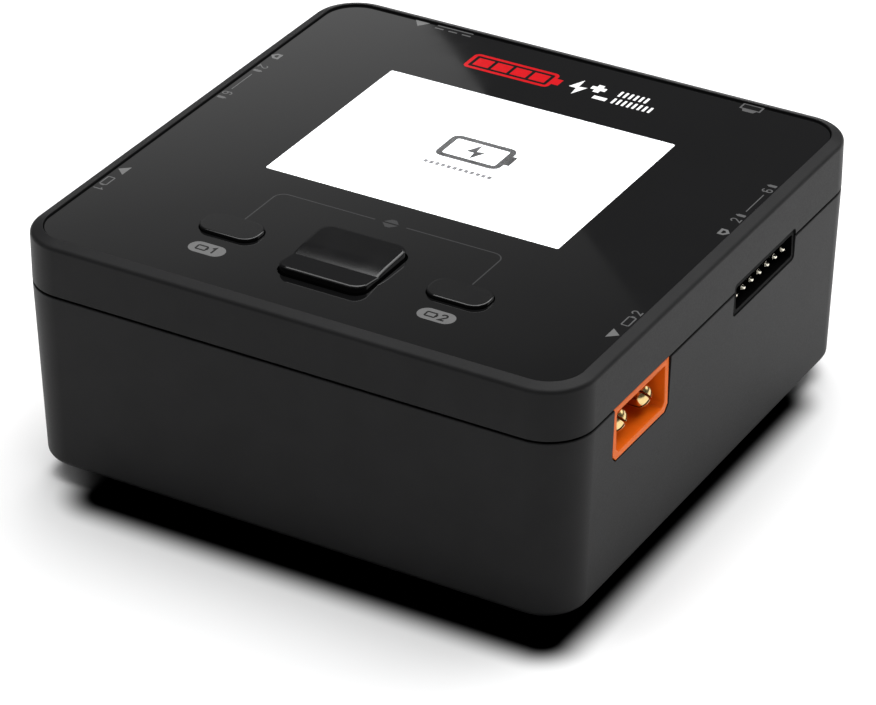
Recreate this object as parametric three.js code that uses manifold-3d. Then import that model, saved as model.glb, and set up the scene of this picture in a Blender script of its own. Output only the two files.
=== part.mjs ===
// Balance battery charger: a two-channel desktop charger for the battery packs of radio controlled models.
// Millimetres. X runs left to right, Y front to back, Z up. The origin is on the table, under the middle.
import * as THREE from "three";
import { mergeVertices } from "three/addons/utils/BufferGeometryUtils.js";
import Module from "manifold-3d";

const wasm = await Module();
wasm.setup();

// ---- Driving dimensions ----
const GAP = 0.3; // clearance between pieces that touch
const CASE_HALF = 44.1; // half the width of the square case
const CASE_R = 7.1; // radius of the case's upright corners
const CASE_BASE_Z = 3.3; // underside of the case, which the feet hold off the table
const SPLIT_Z = 31.55; // middle of the seam between the two half shells
const SEAM = 0.34; // height of the open groove at that seam
const TOP_Z = 40; // top of the rim round the front panel
const WALL = 2.2;
const TAPER = 0.88; // the bottom case narrows by this much a side towards its underside
const RIM_WIDTH = 1.7; // sloping rim round the front panel
const RIM_DROP = 0.65;
const LIP_HEIGHT = 1.7; // tongue of the top cover that stands inside the bottom case
const ROOF_Z = [36.4, 38.12]; // plate of the top cover that carries the front panel

const PANEL_HALF = 42.1;
const PANEL_Z = [38.42, 39.62];
const DISPLAY = { x: 0, y: 7.8, halfX: 25.5, halfY: 19.8, bezel: 0.7, z: [34.7, 38.1], trayZ: 36 };
const RIBBON = { half: 12, thickness: 0.2, upperZ: 35.4, lowerZ: 32.5, bendY: 31.4, startY: 28, endY: 23 };

const KEY_X = 18.2; // channel keys, left and right
const KEY_Y = -27.5;
const KEY_HALF = [4.68, 2.6];
const KEY_R = 2.2;
const KEY_RISE = 0.55;
const KEY_FLANGE_Z = 37.2; // underside of the flange that keeps a key behind the panel
const KEY_SKIRT_Z = 37.6; // lower end of a channel key's cap
const STEM_END_Z = 36.45; // lower end of the key stems and of the carrier, just above the switches
const ROCKER_Y = -28;
const ROCKER_HALF = [6.85, 6.65];
const ROCKER_R = 1.9;
const ROCKER_WALL = 1.05;
const ROCKER_RISE = 1.3;
const ROCKER_Z = { foot: 36.85, skirt: 37.7, pivot: 38.2, hollow: 39.5 }; // from the lowest up
const CREASE = { behind: 1.9, drop: 0.35, scoop: 2.4 }; // dip across the rocker, in front of its middle
const PIN = { r: 0.6, boreR: 0.9, half: 6.6 };
const EAR = { x: [3.9, 5.2], halfY: 1.3, topZ: 39.1 }; // the carrier's two ears hold the pivot pin
const CARRIER_POCKET_Z = 37.5;
const SCROLL_REACH = 4.3; // from the rocker's pivot to each scroll switch

const CONTROL_BOARD_Z = [33.4, 34.4];
const MAIN_BOARD_Z = [21.1, 22.7];
const BOARD_HALF = 39.5;
const POST_AT = 36.8; // the corner columns, on both axes
const BORE_R = 1.5; // bore of every case screw column
const HEAD_BORE_R = 2.8; // wider mouth that takes the screw's head

const POWER_Z = 27.2; // middle of the high-current sockets
const POWER_Y = -23.3; // output sockets, on both sides
const INPUT_X = -23.4; // input socket, at the back
const POWER_RECESS = 0.3; // socket mouth behind the case wall
const POWER_SIZE = { width: 15.9, height: 8.4, length: 17, wall: 1, cavity: 8.5, chamfer: 0.9 };
const BULLET = { pitch: 7.2, r: 1.75, recess: 0.5, z: -0.2, tailR: 1.2, legR: 1, legX: -18.5 };

const BALANCE_Z = 30.26;
const BALANCE_Y = 13.63;
const BALANCE_RECESS = 0.2;
const BALANCE_SIZE = { width: 18.9, height: 4.7, length: 9.5, wall: 0.6, cavity: 7.2 };
const BALANCE_PINS = { count: 7, pitch: 2.5, side: 0.64, recess: 0.5, legX: -10.6, z: -0.2 };

const LINK = { x: 28.3, z: 25, width: 8.9, height: 3.3, wall: 0.35, length: 7.3, recess: 0.3 };
const FAN = { half: 20, z: [5.8, 15.8], ductR: 19, bladeR: 18.3, hubR: 9.5, holeAt: 16, blades: 7 };
const FAN_SCREW = { r: 1.3, headR: 2.6, tipZ: 4.6, headTopZ: 17.4, slotZ: 16.8 };
const CASE_SCREW = { headZ: 4.1, headR: 2.4, headHeight: 1.6, shankR: 1.2, length: 27 };
const FOOT = { x: 27, y: 34, r: 4.5, sunk: 0.6 };

// ---- Finishes: colour, roughness, metalness ----
const FINISHES = {
  casePlastic: [0x1c1c1d, 0.55, 0],
  panel: [0x0b0b0c, 0.08, 0],
  keyPlastic: [0x101011, 0.2, 0],
  display: [0xf4f6f8, 0.3, 0],
  displayFrame: [0x9a9c9e, 0.4, 0.8],
  socketOrange: [0xd9560f, 0.45, 0],
  socketBlack: [0x0a0a0a, 0.35, 0],
  gold: [0xd8c17c, 0.25, 1],
  steel: [0xb5b7ba, 0.3, 1],
  darkSteel: [0x3a3b3d, 0.35, 1],
  aluminium: [0xaeb1b5, 0.4, 1],
  capacitorSleeve: [0x23252b, 0.4, 0],
  board: [0x123a22, 0.5, 0],
  ferrite: [0x3b3c3f, 0.75, 0],
  chip: [0x151515, 0.5, 0],
  flex: [0xb5792a, 0.45, 0],
  rubber: [0x111111, 0.85, 0],
};

const charger = new THREE.Group();

// ---- Solids ----

// A closed three.js geometry as a solid that can be cut and joined.
function solid(geometry) {
  const bare = geometry.clone();
  bare.deleteAttribute("normal");
  bare.deleteAttribute("uv");
  const merged = mergeVertices(bare, 1e-4);
  const index = merged.index.array;
  const triangles = [];
  for (let i = 0; i < index.length; i += 3) {
    const [a, b, c] = [index[i], index[i + 1], index[i + 2]];
    if (a !== b && b !== c && c !== a) triangles.push(a, b, c);
  }
  const mesh = new wasm.Mesh({
    numProp: 3,
    vertProperties: new Float32Array(merged.attributes.position.array),
    triVerts: new Uint32Array(triangles),
  });
  return new wasm.Manifold(mesh);
}

// Joins every solid of a list to the first one.
const join = (first, ...others) => others.reduce((whole, other) => whole.add(other), first);

// Cuts every solid of a list out of the first one.
const cut = (first, ...tools) => tools.reduce((whole, tool) => whole.subtract(tool), first);

// Adds a solid to a group as a named mesh with its own material.
function piece(name, shape, finish, parent = charger) {
  const { vertProperties, triVerts } = shape.getMesh();
  const geometry = new THREE.BufferGeometry();
  geometry.setAttribute("position", new THREE.BufferAttribute(vertProperties, 3));
  geometry.setIndex(new THREE.BufferAttribute(triVerts, 1));
  geometry.computeVertexNormals();
  const [color, roughness, metalness] = FINISHES[finish];
  const material = new THREE.MeshStandardMaterial({ color, roughness, metalness, flatShading: true });
  const mesh = new THREE.Mesh(geometry, material);
  mesh.name = name;
  parent.add(mesh);
  return mesh;
}

function box([x0, x1], [y0, y1], [z0, z1]) {
  const geometry = new THREE.BoxGeometry(x1 - x0, y1 - y0, z1 - z0);
  return solid(geometry.translate((x0 + x1) / 2, (y0 + y1) / 2, (z0 + z1) / 2));
}

// An upright cylinder, or a cone where the radii differ.
function post(x, y, [z0, z1], r, sides = 16, topR = r) {
  const geometry = new THREE.CylinderGeometry(topR, r, z1 - z0, sides);
  return solid(geometry.rotateX(Math.PI / 2).translate(x, y, (z0 + z1) / 2));
}

// A cylinder along X.
function rod([x0, x1], y, z, r, sides = 16) {
  const geometry = new THREE.CylinderGeometry(r, r, x1 - x0, sides);
  return solid(geometry.rotateZ(-Math.PI / 2).translate((x0 + x1) / 2, y, z));
}

// A profile of [radius, height] points turned about the upright axis through x, y.
function turned(profile, x, y, sides = 20) {
  const points = profile.map(([r, z]) => new THREE.Vector2(r, z));
  return solid(new THREE.LatheGeometry(points, sides).rotateX(Math.PI / 2).translate(x, y, 0));
}

// A rectangle with round corners, as an outline to extrude.
function roundedRect(width, height, r, x = 0, y = 0) {
  const [a, b] = [width / 2 - r, height / 2 - r];
  const shape = new THREE.Shape();
  shape.absarc(x + a, y - b, r, -Math.PI / 2, 0);
  shape.absarc(x + a, y + b, r, 0, Math.PI / 2);
  shape.absarc(x - a, y + b, r, Math.PI / 2, Math.PI);
  shape.absarc(x - a, y - b, r, Math.PI, 1.5 * Math.PI);
  return shape;
}

// A closed outline through straight points.
const outline = (points) => new THREE.Shape(points.map(([u, v]) => new THREE.Vector2(u, v)));

// Extrudes an outline upwards.
function slab(shape, [z0, z1], curveSegments = 5) {
  const options = { depth: z1 - z0, bevelEnabled: false, curveSegments };
  return solid(new THREE.ExtrudeGeometry(shape, options).translate(0, 0, z0));
}

// Extrudes an outline in the Y-Z plane along X, then turns it about the upright axis and moves it.
function along(shape, [x0, x1], { angle = 0, x = 0, y = 0, z = 0, curveSegments = 5 } = {}) {
  const options = { depth: x1 - x0, bevelEnabled: false, curveSegments };
  const toX = new THREE.Matrix4().makeBasis(
    new THREE.Vector3(0, 1, 0),
    new THREE.Vector3(0, 0, 1),
    new THREE.Vector3(1, 0, 0),
  );
  const geometry = new THREE.ExtrudeGeometry(shape, options).translate(0, 0, x0).applyMatrix4(toX);
  return solid(geometry.rotateZ(angle).translate(x, y, z));
}

// Skins a stack of round-cornered rectangles, each { z, halfX, halfY, r, x, y }, into one closed solid.
function loft(rings, cornerSteps = 5) {
  const corners = [[1, -1, -0.5], [1, 1, 0], [-1, 1, 0.5], [-1, -1, 1]];
  const positions = [];
  for (const { z, halfX, halfY = halfX, r, x = 0, y = 0 } of rings) {
    for (const [sx, sy, start] of corners) {
      for (let step = 0; step <= cornerSteps; step++) {
        const turn = (start + (0.5 * step) / cornerSteps) * Math.PI;
        const px = x + sx * (halfX - r) + r * Math.cos(turn);
        const py = y + sy * (halfY - r) + r * Math.sin(turn);
        positions.push(px, py, z);
      }
    }
  }
  const count = 4 * (cornerSteps + 1);
  const faces = [];
  for (let level = 0; level + 1 < rings.length; level++) {
    for (let i = 0; i < count; i++) {
      const [a, b] = [level * count + i, level * count + ((i + 1) % count)];
      faces.push(a, b, b + count, a, b + count, a + count);
    }
  }
  const last = (rings.length - 1) * count;
  for (let i = 1; i + 1 < count; i++) faces.push(0, i + 1, i, last, last + i, last + i + 1);
  const geometry = new THREE.BufferGeometry();
  geometry.setAttribute("position", new THREE.Float32BufferAttribute(positions, 3));
  geometry.setIndex(faces);
  return solid(geometry);
}

// The case's outline drawn in by an inset, at one height.
const caseRing = (z, inset) => ({ z, halfX: CASE_HALF - inset, r: CASE_R - inset });

const CORNERS = [[1, 1], [-1, 1], [-1, -1], [1, -1]];
const CORNER_NAMES = ["rear_right", "rear_left", "front_left", "front_right"];
const SIDES = [["ch1", -1], ["ch2", 1]]; // channel 1 is on the left, channel 2 on the right

// ---- Openings in the walls ----

// Where each socket looks out of the case: its turn about the upright axis, and the middle of its mouth.
const RIGHT = { angle: 0, x: CASE_HALF, y: 0 };
const LEFT = { angle: Math.PI, x: -CASE_HALF, y: 0 };
const BACK = { angle: Math.PI / 2, x: 0, y: CASE_HALF };
const CUT_DEPTH = [-6, 3]; // a wall cutter's reach, inwards and outwards

// The high-current opening ends at the seam, with its two lower corners cut off.
function powerOpening({ angle, x, y }) {
  const half = POWER_SIZE.width / 2 + 0.2;
  const [low, high] = [POWER_Z - POWER_SIZE.height / 2 - 0.15, SPLIT_Z + SEAM / 2 - 0.01];
  const bite = POWER_SIZE.chamfer;
  const shape = outline([
    [-half, high], [-half, low + bite], [-half + bite, low],
    [half - bite, low], [half, low + bite], [half, high],
  ]);
  return along(shape, CUT_DEPTH, { angle, x, y });
}

function balanceOpening({ angle, x, y }) {
  const shape = roundedRect(BALANCE_SIZE.width + 0.5, BALANCE_SIZE.height + 0.5, 0.7, 0, BALANCE_Z);
  return along(shape, CUT_DEPTH, { angle, x, y, curveSegments: 3 });
}

function linkOpening() {
  const height = LINK.height + 0.6;
  const shape = roundedRect(LINK.width + 0.6, height, height / 2 - 0.01, 0, LINK.z);
  return along(shape, CUT_DEPTH, { ...BACK, x: LINK.x, curveSegments: 4 });
}

// A row of tall slots in the back wall lets the fan's air out.
function exhaustSlots() {
  const slots = [];
  for (let i = 0; i < 8; i++) {
    const shape = roundedRect(2, 19, 0.99, 0, 19.5);
    slots.push(along(shape, CUT_DEPTH, { ...BACK, x: -10 + 4 * i, curveSegments: 2 }));
  }
  return slots;
}

// The intake is a round field of slots under the fan.
function intakeSlots() {
  const slots = [];
  for (let i = -4; i <= 4; i++) {
    const reach = Math.sqrt(18 ** 2 - (4 * i) ** 2);
    slots.push(slab(roundedRect(2, 2 * reach, 0.99, 4 * i, 0), [CASE_BASE_Z - 1, 7], 2));
  }
  return slots;
}

const socketOpenings = () => [
  powerOpening({ ...RIGHT, y: POWER_Y }),
  powerOpening({ ...LEFT, y: POWER_Y }),
  powerOpening({ ...BACK, x: INPUT_X }),
  balanceOpening({ ...RIGHT, y: BALANCE_Y }),
  balanceOpening({ ...LEFT, y: BALANCE_Y }),
];

// ---- Case ----

function bottomCase() {
  const top = SPLIT_Z - SEAM / 2;
  const edge = 0.7; // chamfer round the underside
  const floorZ = CASE_BASE_Z + WALL;
  const leanAt = (z) => (TAPER * (SPLIT_Z - z)) / (SPLIT_Z - CASE_BASE_Z);
  const shell = loft([
    caseRing(CASE_BASE_Z, TAPER + edge),
    caseRing(CASE_BASE_Z + edge, leanAt(CASE_BASE_Z + edge)),
    caseRing(top, leanAt(top)),
  ]);
  const hollow = loft([caseRing(floorZ, leanAt(floorZ) + WALL), caseRing(top + 1, WALL)]);
  const rebate = loft([caseRing(top - LIP_HEIGHT - 0.2, 1), caseRing(top + 1, 1)]);
  let body = cut(shell, hollow, rebate);
  const headBoreZ = [CASE_BASE_Z - 1, CASE_SCREW.headZ + CASE_SCREW.headHeight + GAP];
  for (const [sx, sy] of CORNERS) {
    const [x, y] = [sx * POST_AT, sy * POST_AT];
    body = body.add(post(x, y, [floorZ - 1, MAIN_BOARD_Z[0] - GAP], 3.2));
    body = cut(body, post(x, y, [CASE_BASE_Z - 1, MAIN_BOARD_Z[0]], BORE_R, 12));
    body = cut(body, post(x, y, headBoreZ, HEAD_BORE_R));
    body = cut(body, post(sx * FOOT.x, sy * FOOT.y, [0, CASE_BASE_Z + FOOT.sunk + GAP], FOOT.r + GAP));
  }
  for (const side of [-1, 1]) {
    const spot = side * FAN.holeAt;
    body = cut(body, post(spot, spot, [FAN_SCREW.tipZ - GAP, floorZ + 1], FAN_SCREW.r + GAP, 12));
  }
  return cut(body, ...socketOpenings(), linkOpening(), ...exhaustSlots(), ...intakeSlots());
}

function topCover() {
  const bottom = SPLIT_Z + SEAM / 2;
  const outer = loft([
    caseRing(bottom, 0),
    caseRing(TOP_Z - RIM_DROP, 0),
    caseRing(TOP_Z, RIM_WIDTH),
  ]);
  const lipZ = [bottom - LIP_HEIGHT, bottom + 0.2];
  const lip = loft([caseRing(lipZ[0], 1 + GAP), caseRing(lipZ[1], 1 + GAP)]);
  const hollow = loft([caseRing(lipZ[0] - 1, WALL), caseRing(ROOF_Z[0], WALL)]);
  const recess = loft([
    { z: ROOF_Z[1], halfX: PANEL_HALF + GAP, r: 5.4 },
    { z: TOP_Z + 1, halfX: PANEL_HALF + GAP, r: 5.4 },
  ]);
  let body = cut(join(outer, lip), hollow, recess);
  for (const [sx, sy] of CORNERS) {
    const [x, y] = [sx * POST_AT, sy * POST_AT];
    body = body.add(post(x, y, [MAIN_BOARD_Z[1] + GAP, ROOF_Z[0] + 0.2], 3));
    body = cut(body, post(x, y, [MAIN_BOARD_Z[1], 33.5], BORE_R, 12));
  }
  const through = [ROOF_Z[0] - 1, ROOF_Z[1] + 0.2];
  const keyHoles = SIDES.map(([, side]) =>
    slab(roundedRect(11.2, 7.2, 2.6, side * KEY_X, KEY_Y), through, 3),
  );
  const [rockerX, rockerY] = ROCKER_HALF.map((half) => half + 0.75);
  const rockerHole = box([-rockerX, rockerX], [ROCKER_Y - rockerY, ROCKER_Y + rockerY], through);
  const pocketZ = [through[0], CARRIER_POCKET_Z];
  const carrierPocket = box([-9.2, 9.2], [ROCKER_Y - 2.7, ROCKER_Y + 2.7], pocketZ);
  const [openX, openY] = [DISPLAY.halfX + GAP, DISPLAY.halfY + GAP];
  const displayHole = box(
    [DISPLAY.x - openX, DISPLAY.x + openX],
    [DISPLAY.y - openY, DISPLAY.y + openY],
    through,
  );
  return cut(body, ...keyHoles, rockerHole, carrierPocket, displayHole, ...socketOpenings());
}

function frontPanel() {
  const sheet = loft([
    { z: PANEL_Z[0], halfX: PANEL_HALF, r: 5.1 },
    { z: PANEL_Z[1] - 0.15, halfX: PANEL_HALF, r: 5.1 },
    { z: PANEL_Z[1], halfX: PANEL_HALF - 0.15, r: 4.95 },
  ]);
  const through = [PANEL_Z[0] - 1, PANEL_Z[1] + 1];
  const margin = 0.3;
  const keyHoles = SIDES.map(([, side]) => {
    const [width, depth] = KEY_HALF.map((half) => 2 * (half + margin));
    return slab(roundedRect(width, depth, 2.5, side * KEY_X, KEY_Y), through, 4);
  });
  const [width, depth] = ROCKER_HALF.map((half) => 2 * (half + margin + 0.05));
  const rockerHole = slab(roundedRect(width, depth, 2.2, 0, ROCKER_Y), through, 4);
  return cut(sheet, ...keyHoles, rockerHole);
}

// ---- Display ----

// A stamped tray holds the display, whose face is level with the tray's rim.
function addDisplay() {
  const { x, y, halfX, halfY, bezel, z, trayZ } = DISPLAY;
  const block = (inset, height) =>
    box([x - halfX + inset, x + halfX - inset], [y - halfY + inset, y + halfY - inset], height);
  piece("lcd_frame", cut(block(0, z), block(bezel, [trayZ, z[1] + 1])), "displayFrame");
  piece("lcd_screen", block(bezel + GAP, [trayZ + GAP, z[1]]), "display");
}

// A flat flexible cable leaves the display at the back, turns over the board's edge and ends under it.
function addDisplayRibbon() {
  const { half, thickness, upperZ, lowerZ, bendY, startY, endY } = RIBBON;
  const [bendZ, bendR] = [(upperZ + lowerZ) / 2, (upperZ - lowerZ) / 2];
  const shape = new THREE.Shape();
  shape.moveTo(startY, upperZ);
  shape.absarc(bendY, bendZ, bendR, Math.PI / 2, -Math.PI / 2, true);
  shape.lineTo(endY, lowerZ);
  shape.lineTo(endY, lowerZ + thickness);
  shape.absarc(bendY, bendZ, bendR - thickness, -Math.PI / 2, Math.PI / 2, false);
  shape.lineTo(startY, upperZ - thickness);
  piece("display_ribbon", along(shape, [-half, half], { curveSegments: 8 }), "flex");
}

// ---- Keys and switches ----

function addChannelKeys() {
  const [halfX, halfY] = KEY_HALF;
  const top = PANEL_Z[1] + KEY_RISE;
  for (const [channel, side] of SIDES) {
    const at = { x: side * KEY_X, y: KEY_Y };
    const cap = loft([
      { z: KEY_SKIRT_Z, halfX, halfY, r: KEY_R, ...at },
      { z: top - 0.3, halfX, halfY, r: KEY_R, ...at },
      { z: top, halfX: halfX - 0.3, halfY: halfY - 0.3, r: KEY_R - 0.3, ...at },
    ], 4);
    const flange = slab(roundedRect(10.5, 6.4, 2.3, at.x, at.y), [KEY_FLANGE_Z, PANEL_Z[0] - GAP], 3);
    const stem = post(at.x, at.y, [STEM_END_Z, KEY_FLANGE_Z + 0.1], 1.5, 12);
    piece(channel + "_key", join(cap, flange, stem), "keyPlastic");
  }
}

// The rocker's section along Y: a flat front land, a crease, and a scoop that rises to the back.
function rockerSection() {
  const [front, back] = [ROCKER_Y - ROCKER_HALF[1], ROCKER_Y + ROCKER_HALF[1]];
  const top = PANEL_Z[1] + ROCKER_RISE;
  const flat = top - 0.05; // the back half lies a little under the front edge
  const [y, z] = [ROCKER_Y - CREASE.behind, top - CREASE.drop];
  const shape = new THREE.Shape();
  shape.moveTo(front, ROCKER_Z.skirt);
  shape.lineTo(back, ROCKER_Z.skirt);
  shape.lineTo(back, flat);
  shape.lineTo(y + CREASE.scoop, flat);
  shape.quadraticCurveTo(y + 0.4 * CREASE.scoop, flat, y, z);
  shape.lineTo(front, top);
  return shape;
}

function addRocker() {
  const [halfX, halfY] = ROCKER_HALF;
  const top = PANEL_Z[1] + ROCKER_RISE;
  const at = { x: 0, y: ROCKER_Y };
  const column = loft([
    { z: ROCKER_Z.skirt, halfX, halfY, r: ROCKER_R, ...at },
    { z: top - 0.3, halfX, halfY, r: ROCKER_R, ...at },
    { z: top + 0.02, halfX: halfX - 0.32, halfY: halfY - 0.32, r: ROCKER_R - 0.32, ...at },
  ], 4);
  const cap = along(rockerSection(), [-halfX - 1, halfX + 1], { curveSegments: 6 }).intersect(column);
  const [insideX, insideY] = [halfX - ROCKER_WALL, halfY - ROCKER_WALL];
  const insideZ = [ROCKER_Z.skirt - 1, ROCKER_Z.hollow];
  const inside = box([-insideX, insideX], [ROCKER_Y - insideY, ROCKER_Y + insideY], insideZ);
  const pinHole = rod([-halfX - 1, halfX + 1], ROCKER_Y, ROCKER_Z.pivot, PIN.boreR, 12);
  const footZ = [ROCKER_Z.foot, ROCKER_Z.hollow + 0.5];
  const feet = [-1, 1].map((end) => post(0, ROCKER_Y + end * SCROLL_REACH, footZ, 0.9, 10));
  piece("rocker_key", join(cut(cap, inside, pinHole), ...feet), "keyPlastic");
  piece("rocker_pivot_pin", rod([-PIN.half, PIN.half], ROCKER_Y, ROCKER_Z.pivot, PIN.r, 12), "steel");
}

// The carrier holds the rocker's pivot and slides down with it when the rocker is pressed in the middle.
function addKeyCarrier() {
  const plate = box([-8.8, 8.8], [ROCKER_Y - 2.2, ROCKER_Y + 2.2], [STEM_END_Z, KEY_FLANGE_Z]);
  const ears = [EAR.x, EAR.x.map((x) => -x).reverse()].map((across) =>
    box(across, [ROCKER_Y - EAR.halfY, ROCKER_Y + EAR.halfY], [KEY_FLANGE_Z - 0.2, EAR.topZ]),
  );
  const pinHole = rod([-EAR.x[1] - 1, EAR.x[1] + 1], ROCKER_Y, ROCKER_Z.pivot, PIN.boreR, 12);
  piece("key_carrier", cut(join(plate, ...ears), pinHole), "chip");
}

function addSwitches() {
  const places = {
    ch1_switch: [-KEY_X, KEY_Y],
    ch2_switch: [KEY_X, KEY_Y],
    ok_switch: [0, ROCKER_Y],
    scroll_up_switch: [0, ROCKER_Y + SCROLL_REACH],
    scroll_down_switch: [0, ROCKER_Y - SCROLL_REACH],
  };
  const foot = CONTROL_BOARD_Z[1] + GAP;
  for (const [name, [x, y]] of Object.entries(places)) {
    const body = slab(roundedRect(3.6, 3.6, 0.4, x, y), [foot, foot + 1], 1);
    piece(name, join(body, post(x, y, [foot + 0.9, foot + 1.3], 0.9, 12)), "steel");
  }
}

// ---- Boards and what is soldered to them ----

function addControlBoard() {
  const [front, back] = [-39.2, 30.6];
  const sheet = slab(roundedRect(78.4, back - front, 2, 0, (front + back) / 2), CONTROL_BOARD_Z, 3);
  const through = [CONTROL_BOARD_Z[0] - 1, CONTROL_BOARD_Z[1] + 1];
  const postHoles = CORNERS.slice(2).map(([sx, sy]) => post(sx * POST_AT, sy * POST_AT, through, 3.4));
  const legX = CASE_HALF - BALANCE_RECESS + BALANCE_PINS.legX;
  const legSlots = [-1, 1].map((side) => {
    const middle = side * legX;
    return box([middle - 0.8, middle + 0.8], [BALANCE_Y - 8.3, BALANCE_Y + 8.3], through);
  });
  piece("control_board", cut(sheet, ...postHoles, ...legSlots), "board");
}

function addMainBoard() {
  const through = [MAIN_BOARD_Z[0] - 1, MAIN_BOARD_Z[1] + 1];
  let board = slab(roundedRect(2 * BOARD_HALF, 2 * BOARD_HALF, 3), MAIN_BOARD_Z, 3);
  for (const [sx, sy] of CORNERS) board = cut(board, post(sx * POST_AT, sy * POST_AT, through, BORE_R, 8));
  const leg = CASE_HALF - POWER_RECESS + BULLET.legX;
  const legR = BULLET.legR + GAP;
  for (const half of [-BULLET.pitch / 2, BULLET.pitch / 2]) {
    board = cut(board, post(leg, POWER_Y + half, through, legR, 8));
    board = cut(board, post(-leg, POWER_Y + half, through, legR, 8));
    board = cut(board, post(INPUT_X + half, leg, through, legR, 8));
  }
  piece("main_board", board, "board");
}

function addMainBoardParts() {
  const seat = MAIN_BOARD_Z[1] + GAP;
  for (const [channel, side] of SIDES) {
    const choke = { x: side * 13, y: 10 };
    const core = loft([
      { z: seat, halfX: 6.3, r: 1.5, ...choke },
      { z: seat + 6, halfX: 6.3, r: 1.5, ...choke },
      { z: seat + 6.6, halfX: 5.7, r: 0.9, ...choke },
    ], 2);
    piece(channel + "_inductor", core, "ferrite");
    for (const [name, y] of [["front", -6], ["rear", 5]]) {
      const can = [
        [0, seat], [3.6, seat], [4, seat + 0.4], [4, seat + 1], [3.7, seat + 1.3], [4, seat + 1.6],
        [4, seat + 8.7], [3.7, seat + 9], [0, seat + 9],
      ];
      piece(channel + "_capacitor_" + name, turned(can, side * 26.5, y, 12), "capacitorSleeve");
    }
    const x = side * 7.5 + 3;
    piece(channel + "_power_transistor", box([x - 5, x + 5], [26.5, 35.5], [seat, seat + 2]), "chip");
    piece(channel + "_heatsink", heatsink(x, 31, seat + 2 + GAP), "aluminium");
  }
  const buzzer = [
    [0, seat], [4.6, seat], [4.6, seat + 4.2], [4.2, seat + 4.6],
    [1, seat + 4.6], [1, seat + 2], [0, seat + 2],
  ];
  piece("buzzer", turned(buzzer, 0, -22, 20), "chip");
  const linkZ = [seat, CONTROL_BOARD_Z[0] - GAP];
  const plug = box([-9.2, 9.2], [-38, -34.4], [linkZ[0] + 4, linkZ[1]]);
  piece("board_link_header", join(box([-10, 10], [-38.6, -33.8], [linkZ[0], linkZ[0] + 4.1]), plug), "chip");
  const chipZ = [CONTROL_BOARD_Z[0] - GAP - 1.4, CONTROL_BOARD_Z[0] - GAP];
  piece("microcontroller", slab(roundedRect(10, 10, 0.6, 0, -8), chipZ, 1), "chip");
}

// A comb of upright fins on a flat base.
function heatsink(x, y, z) {
  const [halfX, halfY, height, fins] = [6.5, 5.5, 6.2, 5];
  const blades = [];
  for (let i = 0; i < fins; i++) {
    const middle = x - halfX + 0.5 + (i * (2 * halfX - 1)) / (fins - 1);
    blades.push(box([middle - 0.5, middle + 0.5], [y - halfY, y + halfY], [z + 1, z + height]));
  }
  return join(box([x - halfX, x + halfX], [y - halfY, y + halfY], [z, z + 1.5]), ...blades);
}

// ---- Sockets: each is built with its mouth at the origin, facing +X, then turned into place ----

function socketGroup(spot, recess, y, z) {
  const group = new THREE.Group();
  const { angle } = spot;
  group.position.set(spot.x - recess * Math.cos(angle), spot.y - recess * Math.sin(angle) + y, z);
  group.rotation.z = angle;
  charger.add(group);
  return group;
}

function powerHousing() {
  const { width, height, length, wall, cavity, chamfer } = POWER_SIZE;
  const profile = (inset, bite) => {
    const [w, h] = [width / 2 - inset, height / 2 - inset];
    return outline([[-w, h], [-w, -h + bite], [-w + bite, -h], [w - bite, -h], [w, -h + bite], [w, h]]);
  };
  const block = along(profile(0, chamfer), [-length, 0]);
  const pocket = along(profile(wall, chamfer * 0.7), [-cavity, 1]);
  const bores = [-1, 1].map((side) =>
    rod([-length - 1, 0], (side * BULLET.pitch) / 2, BULLET.z, BULLET.r + GAP),
  );
  return cut(block, pocket, ...bores);
}

// A bullet contact: a slit, domed plug end, a thinner tail and a leg down into the board.
function bulletPin(y) {
  const { r, recess, z, tailR, legR, legX } = BULLET;
  const dome = [[0, 0], [r * 0.5, -0.12], [r * 0.85, -0.5], [r, -1.1], [r, -10], [0, -10]];
  const points = dome.reverse().map(([radius, x]) => new THREE.Vector2(radius, x - recess));
  const plug = solid(new THREE.LatheGeometry(points, 12).rotateZ(-Math.PI / 2).translate(0, y, z));
  const slitX = [-recess - 4, 1];
  const slits = [
    box(slitX, [y - 0.22, y + 0.22], [z - r - 1, z + r + 1]),
    box(slitX, [y - r - 1, y + r + 1], [z - 0.22, z + 0.22]),
  ];
  const tail = rod([legX - legR, -recess - 9], y, z, tailR, 12);
  const leg = post(legX, y, [-7.2, z + 0.5], legR, 12);
  return join(cut(plug, ...slits), tail, leg);
}

function addPowerSocket(name, spot, y) {
  const group = socketGroup(spot, POWER_RECESS, y, POWER_Z);
  piece(name + "_socket", powerHousing(), "socketOrange", group);
  piece(name + "_positive_pin", bulletPin(BULLET.pitch / 2), "gold", group);
  piece(name + "_negative_pin", bulletPin(-BULLET.pitch / 2), "gold", group);
}

// Places of the balance pins across their socket.
function balancePinY() {
  const { count, pitch } = BALANCE_PINS;
  return Array.from({ length: count }, (_, i) => (i - (count - 1) / 2) * pitch);
}

function balanceHousing() {
  const { width, height, length, wall, cavity } = BALANCE_SIZE;
  const block = along(roundedRect(width, height, 0.5), [-length, 0], { curveSegments: 2 });
  const mouth = roundedRect(width - 2 * wall, height - 2 * wall, 0.3);
  const pocket = along(mouth, [-cavity, 1], { curveSegments: 2 });
  const half = BALANCE_PINS.side / 2 + GAP;
  const { z } = BALANCE_PINS;
  const bores = balancePinY().map((y) => box([-length - 1, 0], [y - half, y + half], [z - half, z + half]));
  return cut(block, pocket, ...bores);
}

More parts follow.
